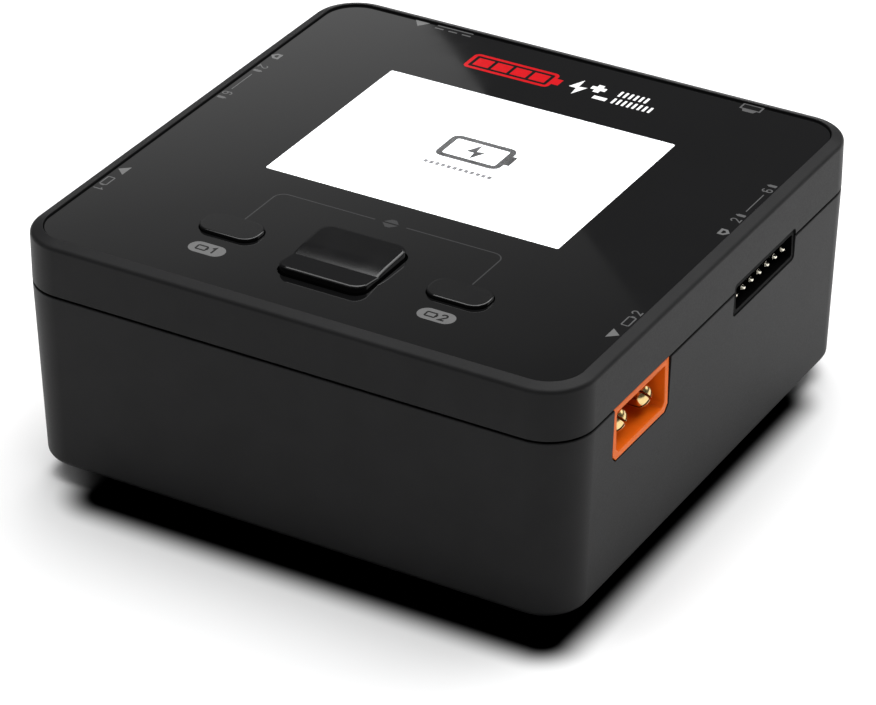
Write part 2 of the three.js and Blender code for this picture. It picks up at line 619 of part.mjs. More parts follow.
// Square pins with pointed tips, turned up into the board and joined behind the housing by a locating bar.
function balancePins() {
  const { side, recess, legX, z } = BALANCE_PINS;
  const half = side / 2;
  const topZ = CONTROL_BOARD_Z[1] + 0.6 - BALANCE_Z;
  const bars = balancePinY().map((y) => {
    const tip = new THREE.CylinderGeometry(0.2, half * Math.SQRT2, 0.5, 4, 1, false, Math.PI / 4);
    const point = solid(tip.rotateZ(-Math.PI / 2).translate(-recess - 0.25, y, z));
    const straight = box([legX - half, -recess - 0.45], [y - half, y + half], [z - half, z + half]);
    const leg = box([legX - half, legX + half], [y - half, y + half], [z, topZ]);
    return join(straight, point, leg);
  });
  const span = balancePinY().at(-1) + half;
  return join(...bars, box([legX - 0.2, legX + 0.2], [-span, span], [z - 0.2, z + 0.2]));
}

function addBalanceSocket(channel, spot) {
  const group = socketGroup(spot, BALANCE_RECESS, BALANCE_Y, BALANCE_Z);
  piece(channel + "_balance_socket", balanceHousing(), "socketBlack", group);
  piece(channel + "_balance_pins", balancePins(), "gold", group);
}

function addLinkPort() {
  const { width, height, wall, length, recess } = LINK;
  const group = socketGroup({ ...BACK, x: LINK.x }, recess, 0, LINK.z);
  const ring = (inset) => roundedRect(width - 2 * inset, height - 2 * inset, height / 2 - inset - 0.01);
  const shell = cut(
    along(ring(0), [-length, 0], { curveSegments: 4 }),
    along(ring(wall), [-length + 1, 1], { curveSegments: 4 }),
  );
  piece("link_port_shell", shell, "steel", group);
  const tongue = along(roundedRect(6.7, 0.7, 0.2), [-length + 1.3, -1], { curveSegments: 1 });
  piece("link_port_tongue", tongue, "socketBlack", group);
}

// ---- Fan ----

function fanFrame() {
  const [low, high] = FAN.z;
  const block = slab(roundedRect(2 * FAN.half, 2 * FAN.half, 3), FAN.z, 3);
  const duct = post(0, 0, [low - 1, high + 1], FAN.ductR, 28);
  let frame = cut(block, duct);
  for (const [sx, sy] of CORNERS) {
    frame = cut(frame, post(sx * FAN.holeAt, sy * FAN.holeAt, [low - 1, high + 1], 1.6, 12));
  }
  const motorSeat = post(0, 0, [high - 1.4, high], 10, 20);
  const struts = [0, 1, 2].map((i) => {
    const strut = new THREE.BoxGeometry(FAN.ductR - 8, 1.6, 1.4);
    return solid(strut.translate(14, 0, high - 0.7).rotateZ(((2 * i) / 3 + 0.17) * Math.PI));
  });
  const bearing = cut(post(0, 0, [high - 4, high - 1.2], 2.4, 16), post(0, 0, [0, high - 1.3], 1.3, 12));
  return join(frame, motorSeat, ...struts, bearing);
}

// A twisted blade: a straight skin between a steep root section and a flat tip section.
function fanBlade(angle) {
  const section = (radius, tilt) => {
    const [halfChord, halfThick] = [4.2, 0.45];
    const [c, s] = [Math.cos(tilt), Math.sin(tilt)];
    return [[-1, -1], [1, -1], [1, 1], [-1, 1]].map(([u, v]) => {
      const [chord, thick] = [u * halfChord, v * halfThick];
      return [radius, chord * c - thick * s, chord * s + thick * c];
    });
  };
  const corners = [...section(FAN.hubR - 0.6, 0.75), ...section(FAN.bladeR - 0.2, 0.45)];
  const faces = [0, 2, 1, 0, 3, 2, 4, 5, 6, 4, 6, 7];
  for (let i = 0; i < 4; i++) {
    const next = (i + 1) % 4;
    faces.push(i, next, next + 4, i, next + 4, i + 4);
  }
  const geometry = new THREE.BufferGeometry();
  geometry.setAttribute("position", new THREE.Float32BufferAttribute(corners.flat(), 3));
  geometry.setIndex(faces);
  return solid(geometry.translate(0, 0, 10).rotateZ(angle));
}

function fanImpeller() {
  const hub = turned([
    [1, 6.3], [FAN.hubR - 0.6, 6.3], [FAN.hubR, 6.9], [FAN.hubR, 13.8], [FAN.hubR - 1.2, 13.8],
    [FAN.hubR - 1.2, 7.6], [1, 7.6], [1, 14.2], [0, 14.2], [0, 6.3], [1, 6.3],
  ], 0, 0, 20);
  const blades = [];
  for (let i = 0; i < FAN.blades; i++) blades.push(fanBlade((2 * Math.PI * i) / FAN.blades));
  return join(hub, ...blades);
}

// The fan's lead climbs from the frame's corner to the underside of the main board.
function fanCable() {
  const route = new THREE.CatmullRomCurve3([
    new THREE.Vector3(10, 21.4, 7.6),
    new THREE.Vector3(15, 23, 8),
    new THREE.Vector3(20, 25.5, 12),
    new THREE.Vector3(22, 26.5, 17),
    new THREE.Vector3(22, 26.5, 21),
  ]);
  const ring = new THREE.Shape();
  ring.absarc(0, 0, 0.9, 0, 2 * Math.PI);
  const options = { steps: 14, extrudePath: route, curveSegments: 4, bevelEnabled: false };
  return solid(new THREE.ExtrudeGeometry(ring, options));
}

// ---- Feet and screws ----

function addFeet() {
  const top = CASE_BASE_Z + FOOT.sunk;
  const profile = [[0, 0], [FOOT.r - 0.6, 0], [FOOT.r, 0.6], [FOOT.r, top], [0, top]];
  CORNERS.forEach(([sx, sy], i) => {
    piece("foot_" + CORNER_NAMES[i], turned(profile, sx * FOOT.x, sy * FOOT.y, 16), "rubber");
  });
}

// A pan-head screw with a cross recess, driven upwards: the head's flat face is at headZ.
function crossScrew(x, y, { headZ, headR, headHeight, shankR, length }) {
  const headTop = headZ + headHeight;
  const tip = headTop + length;
  const profile = [
    [0, headZ], [headR - 0.3, headZ], [headR, headZ + 0.4], [headR, headTop],
    [shankR, headTop], [shankR, tip - 0.6], [shankR - 0.5, tip], [0, tip],
  ];
  const recess = [
    box([x - 1.4, x + 1.4], [y - 0.35, y + 0.35], [headZ - 1, headZ + 0.9]),
    box([x - 0.35, x + 0.35], [y - 1.4, y + 1.4], [headZ - 1, headZ + 0.9]),
  ];
  return cut(turned(profile, x, y, 12), ...recess);
}

function addCaseScrews() {
  CORNERS.forEach(([sx, sy], i) => {
    const screw = crossScrew(sx * POST_AT, sy * POST_AT, CASE_SCREW);
    piece("case_screw_" + CORNER_NAMES[i], screw, "darkSteel");
  });
}

// Two screws hold the fan down at opposite corners, driven downwards into the floor.
function addFanScrews() {
  const { r, headR, tipZ, headTopZ, slotZ } = FAN_SCREW;
  for (const [name, side] of [["left", -1], ["right", 1]]) {
    const spot = side * FAN.holeAt;
    const shank = post(0, 0, [tipZ, FAN.z[1] + 0.6], r, 12);
    const head = post(0, 0, [FAN.z[1] + GAP, headTopZ], headR);
    const slot = box([-1.8, 1.8], [-0.35, 0.35], [slotZ, headTopZ + 1]);
    const screw = piece("fan_screw_" + name, cut(join(shank, head), slot), "steel");
    screw.position.set(spot, spot, 0);
  }
}

// ---- Assembly ----

piece("bottom_case", bottomCase(), "casePlastic");
piece("top_cover", topCover(), "casePlastic");
piece("front_panel", frontPanel(), "panel");
addDisplay();
addDisplayRibbon();
addChannelKeys();
addRocker();
addKeyCarrier();
addSwitches();
addControlBoard();
addMainBoard();
addMainBoardParts();
addPowerSocket("ch1_output", LEFT, POWER_Y);
addPowerSocket("ch2_output", RIGHT, POWER_Y);
addPowerSocket("dc_input", { ...BACK, x: INPUT_X }, 0);
addBalanceSocket("ch1", LEFT);
addBalanceSocket("ch2", RIGHT);
addLinkPort();
piece("fan_frame", fanFrame(), "chip");
piece("fan_impeller", fanImpeller(), "chip");
piece("fan_cable", fanCable(), "rubber");
addFeet();
addCaseScrews();
addFanScrews();

export default charger;
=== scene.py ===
"""Balance battery charger: a black two-channel desktop charger with a glossy front panel and a lit display.

Sizes are in millimetres in the model's own frame: X to the right, Y to the back, Z up, the table at Z = 0.
"""

import math

import bmesh
import bpy
from mathutils import Matrix, Vector


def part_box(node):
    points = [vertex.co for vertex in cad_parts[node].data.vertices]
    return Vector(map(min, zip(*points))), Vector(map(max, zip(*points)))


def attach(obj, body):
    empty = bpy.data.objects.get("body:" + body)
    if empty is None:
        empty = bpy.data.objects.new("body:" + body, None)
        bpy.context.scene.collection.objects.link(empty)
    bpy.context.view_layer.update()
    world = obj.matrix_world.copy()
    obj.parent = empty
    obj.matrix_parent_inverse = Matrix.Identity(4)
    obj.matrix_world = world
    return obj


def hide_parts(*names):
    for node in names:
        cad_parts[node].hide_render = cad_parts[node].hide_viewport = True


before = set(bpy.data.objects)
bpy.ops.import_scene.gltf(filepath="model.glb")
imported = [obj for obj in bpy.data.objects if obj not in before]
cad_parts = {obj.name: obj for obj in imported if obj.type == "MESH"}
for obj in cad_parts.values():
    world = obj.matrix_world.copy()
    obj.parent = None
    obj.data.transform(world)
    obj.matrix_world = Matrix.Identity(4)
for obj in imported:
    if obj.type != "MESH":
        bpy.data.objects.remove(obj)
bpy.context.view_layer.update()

MM = 0.001


def span(node):
    """Lowest and highest corner of a CAD node, in millimetres."""
    low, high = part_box(node)
    return [v / MM for v in low], [v / MM for v in high]


# ---- Sizes ----
CASE_HALF = span("top_cover")[1][0]
CASE_R = 7.1  # radius of the case's upright corners
CASE_BASE = span("bottom_case")[0][2]
RIM_TOP = span("top_cover")[1][2]
SEAM = (span("bottom_case")[1][2], span("bottom_case")[1][2] + 0.34)
TAPER = 0.88  # the bottom case draws in by this much towards its underside
WALL = 2.2
FLOOR_TOP = CASE_BASE + WALL
REBATE_DEPTH = 1.9  # step inside the bottom case's mouth
LIP_BOTTOM = span("top_cover")[0][2]
ROOF = (36.4, 38.12)  # plate under the front panel
RECESS_HALF = 42.24
RIM_DROP = 0.65

PANEL_LOW, PANEL_HIGH = span("front_panel")
PANEL_HALF = PANEL_HIGH[0]
PANEL_R = 5.1
PANEL_TOP = PANEL_HIGH[2]
PANEL_UNDER = PANEL_LOW[2]
WINDOW = {"x": -0.15, "y": 7.85, "half": (23.7, 17.65)}  # clear part of the panel
DISPLAY_HOLE = {"x": 0.0, "y": 7.8, "half": (25.8, 20.1)}  # in the plate under the panel
SCREEN_TOP = span("lcd_screen")[1][2]

KEY_X = 18.2
KEY_Y = -27.5
KEY_HALF = (4.68, 2.6)
KEY_R = 2.2
KEY_TOP = span("ch1_key")[1][2]
KEY_GAP = 0.15  # in the panel, round a channel key
KEY_EDGE = 0.17  # rounding of its top
ROCKER_Y = -28.0
ROCKER_HALF = (6.85, 6.65)
ROCKER_R = 1.9
ROCKER_GAP = 0.35  # in the panel, round the rocker
ROCKER_EDGE = 0.36
ROCKER_TOP = span("rocker_key")[1][2]
ROCKER_LOW = 37.7
ROCKER_WALL = 1.05
HOLLOW_TOP = 39.5
# The rocker's crease: how far in front of its middle, how deep, and the steep part of the scoop behind it
CREASE = {"behind": 1.9, "drop": 0.6, "step": 0.3, "scoop": 3.2}

POWER_Z = 27.2
POWER_Y = -23.3
INPUT_X = -23.4
POWER_RECESS = 0.3
POWER_OPENING = {"half": 8.15, "low": 22.85, "bite": 0.9}
BULLET = {
    "pitch": 7.2, "r": 1.75, "recess": 0.5, "length": 10.0, "dome": 1.3,
    "slit": 0.4, "slit_depth": 4.0, "slit_turn": 40,
}
BULLET_Z = POWER_Z - 0.2
BULLET_TAIL = {"r": 1.2, "leg_r": 1.0, "leg_at": -18.5, "foot_z": 20.0}
BALANCE_Z = 30.26
BALANCE_Y = 13.63
BALANCE_OPENING = {"width": 19.4, "height": 5.2, "r": 0.7}
LINK = {"x": 28.3, "z": 25.0, "width": 9.5, "height": 3.9}
POST = {"at": 36.8, "r": 3.2, "top": 20.8, "bore": 1.5, "head_bore": 2.8, "head_top": 6.0}  # screw columns
EXHAUST = {"count": 8, "first": -10, "pitch": 4, "half": (1, 9.5), "z": 19.5}  # slots in the back wall
INTAKE = {"per_side": 4, "pitch": 4, "half_width": 1, "reach": 18}  # slots in the floor, inside a circle
FAN_HOLE = {"at": 16.0, "r": 1.6}
SLOT_END = 0.99
FOOT = {"x": 27.0, "y": 34.0, "r": 4.5}
FOOT_TOP = span("foot_front_left")[1][2]

# Printed marks
INK = 0.012  # how far the marks stand above the surface they are printed on
INK_STEP = 0.00004
PILL = {"half": (2.85, 1.45), "y": -33.9}
LINK_LINE = {"r": 1.6, "y": -15.1, "start": -24.2, "gap": 2.5}
LABEL_FOOT = 41.75  # outer end of the marks along the side edges
# Side, turn, and the Y of its tag, cell counts, arrow and channel label
EDGE_LABELS = ((-1, -90, 20.8, 17.3, -20.6, -23.1, "1"), (1, 90, 5.9, 9.4, -26.2, -23.6, "2"))

# Setting
FLOOR_COLOUR = (0.9, 0.9, 0.9)
# Shadow painted into the floor's colour as a dark soft-edged square under the case: its middle, half width,
# corner radius and soft edge
PAINTED_SHADOW = {"x": 4.4, "y": -7.4, "half": 40.5, "r": 5.5, "fade": 3.0}
# Board in the panel's gloss: its ends and depth in millimetres, its corner in metres, its turn, and the light
# at places along it
CARD = {
    "span": (-260, 300), "depth": 330, "at": (-0.736, 1.375, 0.866), "turn": math.atan2(0.672, -0.741),
    "levels": ((-260, 0.10), (300, 0.95), (-150, 0.18), (-100, 0.22), (0, 0.35), (100, 0.56), (200, 0.77)),
}
# Soft lights: middle, aim and size in metres, and the radiance of the face
LIGHTS = {
    "overhead": ((0.0, 0.55, 1.3), (0.0, 0.55, 0), (1.5, 2.1), 4.15),
    "rear_fill": ((0.76, 1.48, 0.86), (0, 0, 0.03), (1.3, 0.7), 1.7),
    "front_fill": ((-0.65, -0.8, 1.15), (0, 0, 0.03), (0.8, 0.8), 1.0),
}
AMBIENT = (0.1, 0.1, 0.102, 1)
CAMERA = {
    "lens": 168.164, "sensor": 36, "at": (0.254484, -0.442104, 0.315116), "aim": (0.023471, -0.042591, 0.040),
}

# Walls that carry sockets, and the corners
RIGHT = {"angle": 0.0, "x": CASE_HALF, "y": 0.0}
LEFT = {"angle": math.pi, "x": -CASE_HALF, "y": 0.0}
BACK = {"angle": math.pi / 2, "x": 0.0, "y": CASE_HALF}
CORNERS = [(1, 1, "rear_right"), (-1, 1, "rear_left"), (-1, -1, "front_left"), (1, -1, "front_right")]


# ---- Materials ----

def noise(nodes, links, coordinates, size_mm, stretch=(1, 1, 1), detail=3.0):
    """A noise texture whose features are about size_mm across."""
    mapping = nodes.new("ShaderNodeMapping")
    mapping.inputs["Scale"].default_value = stretch
    links.new(coordinates, mapping.inputs["Vector"])
    texture = nodes.new("ShaderNodeTexNoise")
    texture.inputs["Scale"].default_value = 1 / (size_mm * MM)
    texture.inputs["Detail"].default_value = detail
    links.new(mapping.outputs["Vector"], texture.inputs["Vector"])
    return texture.outputs["Fac"]


def spread(nodes, links, value, low, high):
    """Maps a 0.3 to 0.7 noise value onto low to high."""
    ramp = nodes.new("ShaderNodeMapRange")
    ramp.inputs["From Min"].default_value = 0.3
    ramp.inputs["From Max"].default_value = 0.7
    ramp.inputs["To Min"].default_value = low
    ramp.inputs["To Max"].default_value = high
    links.new(value, ramp.inputs["Value"])
    return ramp.outputs["Result"]


def between(nodes, links, value, dark, light):
    """Colour that runs from dark to light over a 0.3 to 0.7 noise value."""
    ramp = nodes.new("ShaderNodeValToRGB")
    ramp.color_ramp.elements[0].position = 0.3
    ramp.color_ramp.elements[1].position = 0.7
    ramp.color_ramp.elements[0].color = (*dark, 1)
    ramp.color_ramp.elements[1].color = (*light, 1)
    links.new(value, ramp.inputs["Fac"])
    return ramp.outputs["Color"]


def finish(name, colour, roughness, metallic=0.0, specular=0.5, shade=0.12, mottle=6.0, grain=0.25,
           relief=0.004, rough_shade=0.05, stretch=(1, 1, 1), **sockets):
    """A moulded, metal or rubber surface.

    shade is how far the colour strays over patches mottle mm wide. grain and relief are the width and depth
    of the surface texture in mm, and sockets are further inputs of the shader.
    """
    material = bpy.data.materials.new(name)
    material.use_nodes = True
    nodes, links = material.node_tree.nodes, material.node_tree.links
    shader = nodes["Principled BSDF"]
    place = nodes.new("ShaderNodeTexCoord").outputs["Object"]
    patches = noise(nodes, links, place, mottle, stretch)
    dark = [c * (1 - shade) for c in colour]
    light = [c * (1 + shade) for c in colour]
    links.new(between(nodes, links, patches, dark, light), shader.inputs["Base Color"])
    fine = noise(nodes, links, place, grain, stretch)
    rough = spread(nodes, links, fine, max(roughness - rough_shade, 0.0), roughness + rough_shade)
    links.new(rough, shader.inputs["Roughness"])
    if relief:
        bump = nodes.new("ShaderNodeBump")
        bump.inputs["Distance"].default_value = relief * MM
        links.new(fine, bump.inputs["Height"])
        links.new(bump.outputs["Normal"], shader.inputs["Normal"])
    shader.inputs["Metallic"].default_value = metallic
    shader.inputs["Specular IOR Level"].default_value = specular
    for socket, value in sockets.items():
        shader.inputs[socket.replace("_", " ")].default_value = value
    return material


def circuit_board(name):
    """Green solder mask over copper tracks that show as lighter lines."""
    material = finish(name, (0.012, 0.075, 0.03), 0.35, grain=0.6, relief=0.002)
    nodes, links = material.node_tree.nodes, material.node_tree.links
    shader = nodes["Principled BSDF"]
    tracks = nodes.new("ShaderNodeTexBrick")
    tracks.inputs["Scale"].default_value = 1 / (9 * MM)
    tracks.inputs["Mortar Size"].default_value = 0.03
    tracks.inputs["Color1"].default_value = (0.010, 0.065, 0.026, 1)
    tracks.inputs["Color2"].default_value = (0.014, 0.085, 0.034, 1)
    tracks.inputs["Mortar"].default_value = (0.03, 0.16, 0.05, 1)
    links.new(nodes["Texture Coordinate"].outputs["Object"], tracks.inputs["Vector"])
    links.new(tracks.outputs["Color"], shader.inputs["Base Color"])
    return material


def lit_display(name):
    """The display's white page, a little dimmer and cooler in patches, as a backlight is."""
    material = finish(name, (0.8, 0.82, 0.84), 0.25, relief=0, mottle=14.0, shade=0.02)
    nodes, links = material.node_tree.nodes, material.node_tree.links
    shader = nodes["Principled BSDF"]
    place = nodes["Texture Coordinate"].outputs["Object"]
    glow = between(nodes, links, noise(nodes, links, place, 14.0), (0.96, 0.98, 1.0), (1.0, 1.0, 1.0))
    links.new(glow, shader.inputs["Emission Color"])
    shader.inputs["Emission Strength"].default_value = 1.25
    return material


MATERIALS = {
    "case_plastic": finish("case_plastic", (0.011, 0.011, 0.0113), 0.46, specular=0.1, shade=0.1,
                           grain=0.22, relief=0.006, rough_shade=0.04),
    "panel_acrylic": finish("panel_acrylic", (0.0042, 0.0042, 0.0044), 0.035, specular=0.5, shade=0.06,
                            mottle=18.0, grain=9.0, relief=0.0, rough_shade=0.015),
    "key_plastic": finish("key_plastic", (0.0042, 0.0042, 0.0044), 0.1, shade=0.06, mottle=9.0, grain=5.0,
                          relief=0, rough_shade=0.015),
    "rocker_gloss": finish("rocker_gloss", (0.0036, 0.0036, 0.0038), 0.12, specular=0.4, shade=0.06,
                           mottle=9.0, grain=5.0, relief=0, rough_shade=0.015),
    "display_glass": lit_display("display_glass"),
    "display_frame": finish("display_frame", (0.5, 0.51, 0.52), 0.35, 0.9, grain=0.4, stretch=(1, 12, 1)),
    "flex_circuit": finish("flex_circuit", (0.5, 0.26, 0.06), 0.4, grain=0.8, relief=0.002),
    "pin_steel": finish("pin_steel", (0.6, 0.61, 0.62), 0.25, 1.0, grain=0.2, stretch=(1, 9, 9)),
    "carrier_plastic": finish("carrier_plastic", (0.02, 0.02, 0.02), 0.5),
    "switch_metal": finish("switch_metal", (0.6, 0.61, 0.62), 0.3, 1.0, grain=0.2),
    "circuit_board": circuit_board("circuit_board"),
    "ferrite": finish("ferrite", (0.045, 0.045, 0.05), 0.75, shade=0.25, grain=0.35, relief=0.02),
    "capacitor_sleeve": finish("capacitor_sleeve", (0.02, 0.022, 0.035), 0.3, grain=0.7, relief=0.002),
    "chip_package": finish("chip_package", (0.018, 0.018, 0.02), 0.55, grain=0.15, relief=0.006),
    "heatsink_aluminium": finish("heatsink_aluminium", (0.62, 0.63, 0.65), 0.38, 1.0, grain=0.3,
                                 stretch=(1, 10, 1)),
    "socket_orange": finish("socket_orange", (0.8, 0.14, 0.004), 0.45, specular=0.15, shade=0.06, mottle=3.0,
                            grain=0.25, relief=0.004),
    "gold_contact": finish("gold_contact", (0.72, 0.54, 0.24), 0.2, 1.0, shade=0.05, mottle=1.2, grain=0.3,
                           relief=0.001),
    "pin_gold": finish("pin_gold", (0.97, 0.92, 0.78), 0.16, 1.0, shade=0.03, mottle=1.2, grain=0.3,
                       relief=0),
    "socket_black": finish("socket_black", (0.0016, 0.0016, 0.0017), 0.5, specular=0.02, shade=0.1,
                           grain=0.3, relief=0.002),
    "fan_plastic": finish("fan_plastic", (0.018, 0.018, 0.019), 0.45, grain=0.3, relief=0.004),
    "cable_jacket": finish("cable_jacket", (0.012, 0.012, 0.012), 0.5, grain=0.5, relief=0.004),
    "foot_rubber": finish("foot_rubber", (0.012, 0.012, 0.012), 0.8, grain=0.3, relief=0.02),
    "screw_steel": finish("screw_steel", (0.09, 0.09, 0.1), 0.35, 1.0, grain=0.3),
    "window": finish("window", (1.0, 1.0, 1.0), 0.03, shade=0.0, mottle=9.0, grain=9.0, relief=0,
                     rough_shade=0.02, Transmission_Weight=1.0, IOR=1.49),
    "print_grey": finish("print_grey", (0.13, 0.13, 0.13), 0.06, shade=0.05, mottle=1.0, grain=0.4,
                         relief=0),
    "print_dim": finish("print_dim", (0.095, 0.095, 0.096), 0.06, shade=0.05, mottle=1.0, grain=0.4,
                        relief=0),
    "print_dark": finish("print_dark", (0.012, 0.012, 0.012), 0.06, shade=0.05, mottle=1.0, relief=0),
    "print_white": finish("print_white", (0.9, 0.9, 0.9), 0.06, shade=0.02, mottle=1.0, relief=0),
    "print_red": finish("print_red", (0.52, 0.004, 0.008), 0.06, shade=0.04, mottle=1.0, relief=0),
    "print_faint": finish("print_faint", (0.035, 0.035, 0.036), 0.06, shade=0.05, mottle=1.0, relief=0),
    "screen_faint": finish("screen_faint", (0.3, 0.3, 0.31), 0.3, shade=0.06, mottle=0.8, relief=0),
    "screen_ink": finish("screen_ink", (0.035, 0.036, 0.038), 0.3, shade=0.06, mottle=0.8, relief=0),
}


# ---- Meshes ----

def mesh_object(name, points, faces):
    """A mesh in the scene from points in millimetres, with its faces turned outwards."""
    mesh = bpy.data.meshes.new(name)
    mesh.from_pydata([Vector(p) * MM for p in points], [], faces)
    work = bmesh.new()
    work.from_mesh(mesh)
    bmesh.ops.recalc_face_normals(work, faces=work.faces)
    work.to_mesh(mesh)
    work.free()
    obj = bpy.data.objects.new(name, mesh)
    bpy.context.scene.collection.objects.link(obj)
    return obj


def round_rect(half_x, half_y, r, x=0.0, y=0.0, steps=6):
    """Corner-rounded rectangle as a list of points, anticlockwise."""
    points = []
    for sx, sy, start in [(1, -1, -0.5), (1, 1, 0.0), (-1, 1, 0.5), (-1, -1, 1.0)]:
        for step in range(steps + 1):
            turn = (start + 0.5 * step / steps) * math.pi
            across = x + sx * (half_x - r) + r * math.cos(turn)
            up = y + sy * (half_y - r) + r * math.sin(turn)
            points.append((across, up))
    return points


def circle(r, x=0.0, y=0.0, steps=48):
    return [(x + r * math.cos(2 * math.pi * i / steps), y + r * math.sin(2 * math.pi * i / steps))
            for i in range(steps)]


def rounded_path(corners, steps=4):
    """Points along straight runs through (u, v, radius) corners, with each corner rounded."""
    path = []
    for i, (u, v, radius) in enumerate(corners):
        here = Vector((u, v))
        if not radius:
            path.append(here)
            continue
        back = (Vector(corners[i - 1][:2]) - here).normalized()
        ahead = (Vector(corners[i + 1][:2]) - here).normalized()
        half = back.angle(ahead) / 2
        centre = here + (back + ahead).normalized() * radius / math.sin(half)
        start = here + back * radius / math.tan(half) - centre
        end = here + ahead * radius / math.tan(half) - centre
        sweep = start.angle(end)
        for step in range(steps + 1):
            t = step / steps
            turned_by = start * math.sin((1 - t) * sweep) + end * math.sin(t * sweep)
            path.append(centre + turned_by / math.sin(sweep))
    return path


def skin(name, rings):
    """Closes a stack of rings of equal length into one solid, capped at both ends."""
    count = len(rings[0])
    points = [p for ring in rings for p in ring]
    last = len(points) - count
    faces = [tuple(range(count)), tuple(range(last, last + count))]
    for base in range(0, last, count):
        for i in range(count):
            j = (i + 1) % count
            faces.append((base + i, base + j, base + count + j, base + count + i))
    return mesh_object(name, points, faces)


def facing(angle=0.0, x=0.0, y=0.0, z=0.0):
    """Maps (along the wall, up, outwards) to the model's frame for a wall that faces angle."""
    columns = Matrix(((0, 0, 1, 0), (1, 0, 0, 0), (0, 1, 0, 0), (0, 0, 0, 1)))
    return Matrix.Translation((x, y, z)) @ Matrix.Rotation(angle, 4, "Z") @ columns


def prism(name, outline, ends, place=None):
    """An outline pushed from ends[0] to ends[1]: upwards, or outwards where place comes from facing."""
    place = place or Matrix()
    return skin(name, [[place @ Vector((u, v, w)) for u, v in outline] for w in ends])


def turned(name, profile, x=0.0, y=0.0, steps=64):
    """Turns a profile of (radius, height) about the upright axis through x, y."""
    rings = [[(px, py, z) for px, py in circle(max(r, 0.001), x, y, steps)] for r, z in profile]
    return skin(name, rings)


def bake(obj):
    """Turns an object's modifiers into plain mesh."""
    depsgraph = bpy.context.evaluated_depsgraph_get()
    mesh = bpy.data.meshes.new_from_object(obj.evaluated_get(depsgraph))
    obj.modifiers.clear()
    obj.data = mesh


def combine(obj, operation, tools):
    """Joins, cuts or intersects obj with the tools, which are used up."""
    group = bpy.data.collections.new("tools")
    for tool in tools:
        group.objects.link(tool)
    modifier = obj.modifiers.new("combine", "BOOLEAN")
    modifier.operation = operation
    modifier.operand_type = "COLLECTION"
    modifier.collection = group
    modifier.solver = "EXACT"
    bake(obj)
    for tool in tools:
        bpy.data.objects.remove(tool)
    bpy.data.collections.remove(group)
    work = bmesh.new()
    work.from_mesh(obj.data)
    bmesh.ops.remove_doubles(work, verts=work.verts, dist=0.0005 * MM)
    bmesh.ops.dissolve_degenerate(work, edges=work.edges, dist=0.0005 * MM)
    work.to_mesh(obj.data)
    work.free()


def soften(obj, width, segments=3, angle=32.0):
    """Rounds an object's sharp edges by width mm and shades it smoothly."""
    if width:
        bevel = obj.modifiers.new("round_edges", "BEVEL")
        bevel.width = width * MM
        bevel.segments = segments
        bevel.limit_method = "ANGLE"
        bevel.angle_limit = math.radians(angle)
        bevel.use_clamp_overlap = True
        bevel.miter_outer = "MITER_ARC"
    normals = obj.modifiers.new("even_shading", "WEIGHTED_NORMAL")
    normals.keep_sharp = True
    for polygon in obj.data.polygons:
        polygon.use_smooth = True


def crease(obj, angle):
    """Keeps every edge sharper than angle degrees as a crease in the shading."""
    work = bmesh.new()
    work.from_mesh(obj.data)
    for edge in work.edges:
        if len(edge.link_faces) == 2:
            edge.smooth = edge.calc_face_angle() < math.radians(angle)
    work.to_mesh(obj.data)
    work.free()


def place(obj, material, body, *replaced, slot=None):
    """Gives a finished piece its material, body, and the CAD nodes that it stands for."""
    obj.data.materials.clear()
    obj.data.materials.append(MATERIALS[material])
    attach(obj, body)
    if replaced:
        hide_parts(*replaced)
    return obj


def refined(node, name, material, width, body="charger", slot=None):
    """A copy of a CAD node with its flat faces merged and its edges rounded."""
    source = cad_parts[node]
    mesh = bpy.data.meshes.new(name)
    work = bmesh.new()
    work.from_mesh(source.data)
    work.transform(source.matrix_world)
    bmesh.ops.remove_doubles(work, verts=work.verts, dist=0.002 * MM)
    flat = math.radians(0.6)
    bmesh.ops.dissolve_limit(work, angle_limit=flat, verts=work.verts, edges=work.edges)
    bmesh.ops.recalc_face_normals(work, faces=work.faces)
    work.to_mesh(mesh)
    work.free()
    obj = bpy.data.objects.new(name, mesh)
    bpy.context.scene.collection.objects.link(obj)
    crease(obj, 40)
    soften(obj, width, 2)
    return place(obj, material, body, node, slot=slot or material)


# ---- Case ----

def case_ring(inset, z):
    half = CASE_HALF - inset
    return [(x, y, z) for x, y in round_rect(half, half, max(CASE_R - inset, 0.5), steps=20)]


def lean(z):
    """How far the bottom case's wall has drawn in at a height."""
    middle = (SEAM[0] + SEAM[1]) / 2
    return TAPER * (middle - z) / (middle - CASE_BASE)


def wall_cut(spot, outline, x=0.0, y=0.0):
    return prism("cut", outline, (-6, 3), facing(spot["angle"], spot["x"] + x, spot["y"] + y))


def power_outline():
    half, low, bite = POWER_OPENING["half"], POWER_OPENING["low"], POWER_OPENING["bite"]
    high = SEAM[1] + 0.01
    return [(-half, high), (-half, low + bite), (-half + bite, low), (half - bite, low), (half, low + bite),
            (half, high)]


def socket_cuts():
    balance = round_rect(BALANCE_OPENING["width"] / 2, BALANCE_OPENING["height"] / 2, BALANCE_OPENING["r"],
                         0, BALANCE_Z)
    return [
        wall_cut(RIGHT, power_outline(), y=POWER_Y),
        wall_cut(LEFT, power_outline(), y=POWER_Y),
        wall_cut(BACK, power_outline(), x=INPUT_X),
        wall_cut(RIGHT, balance, y=BALANCE_Y),
        wall_cut(LEFT, balance, y=BALANCE_Y),
    ]


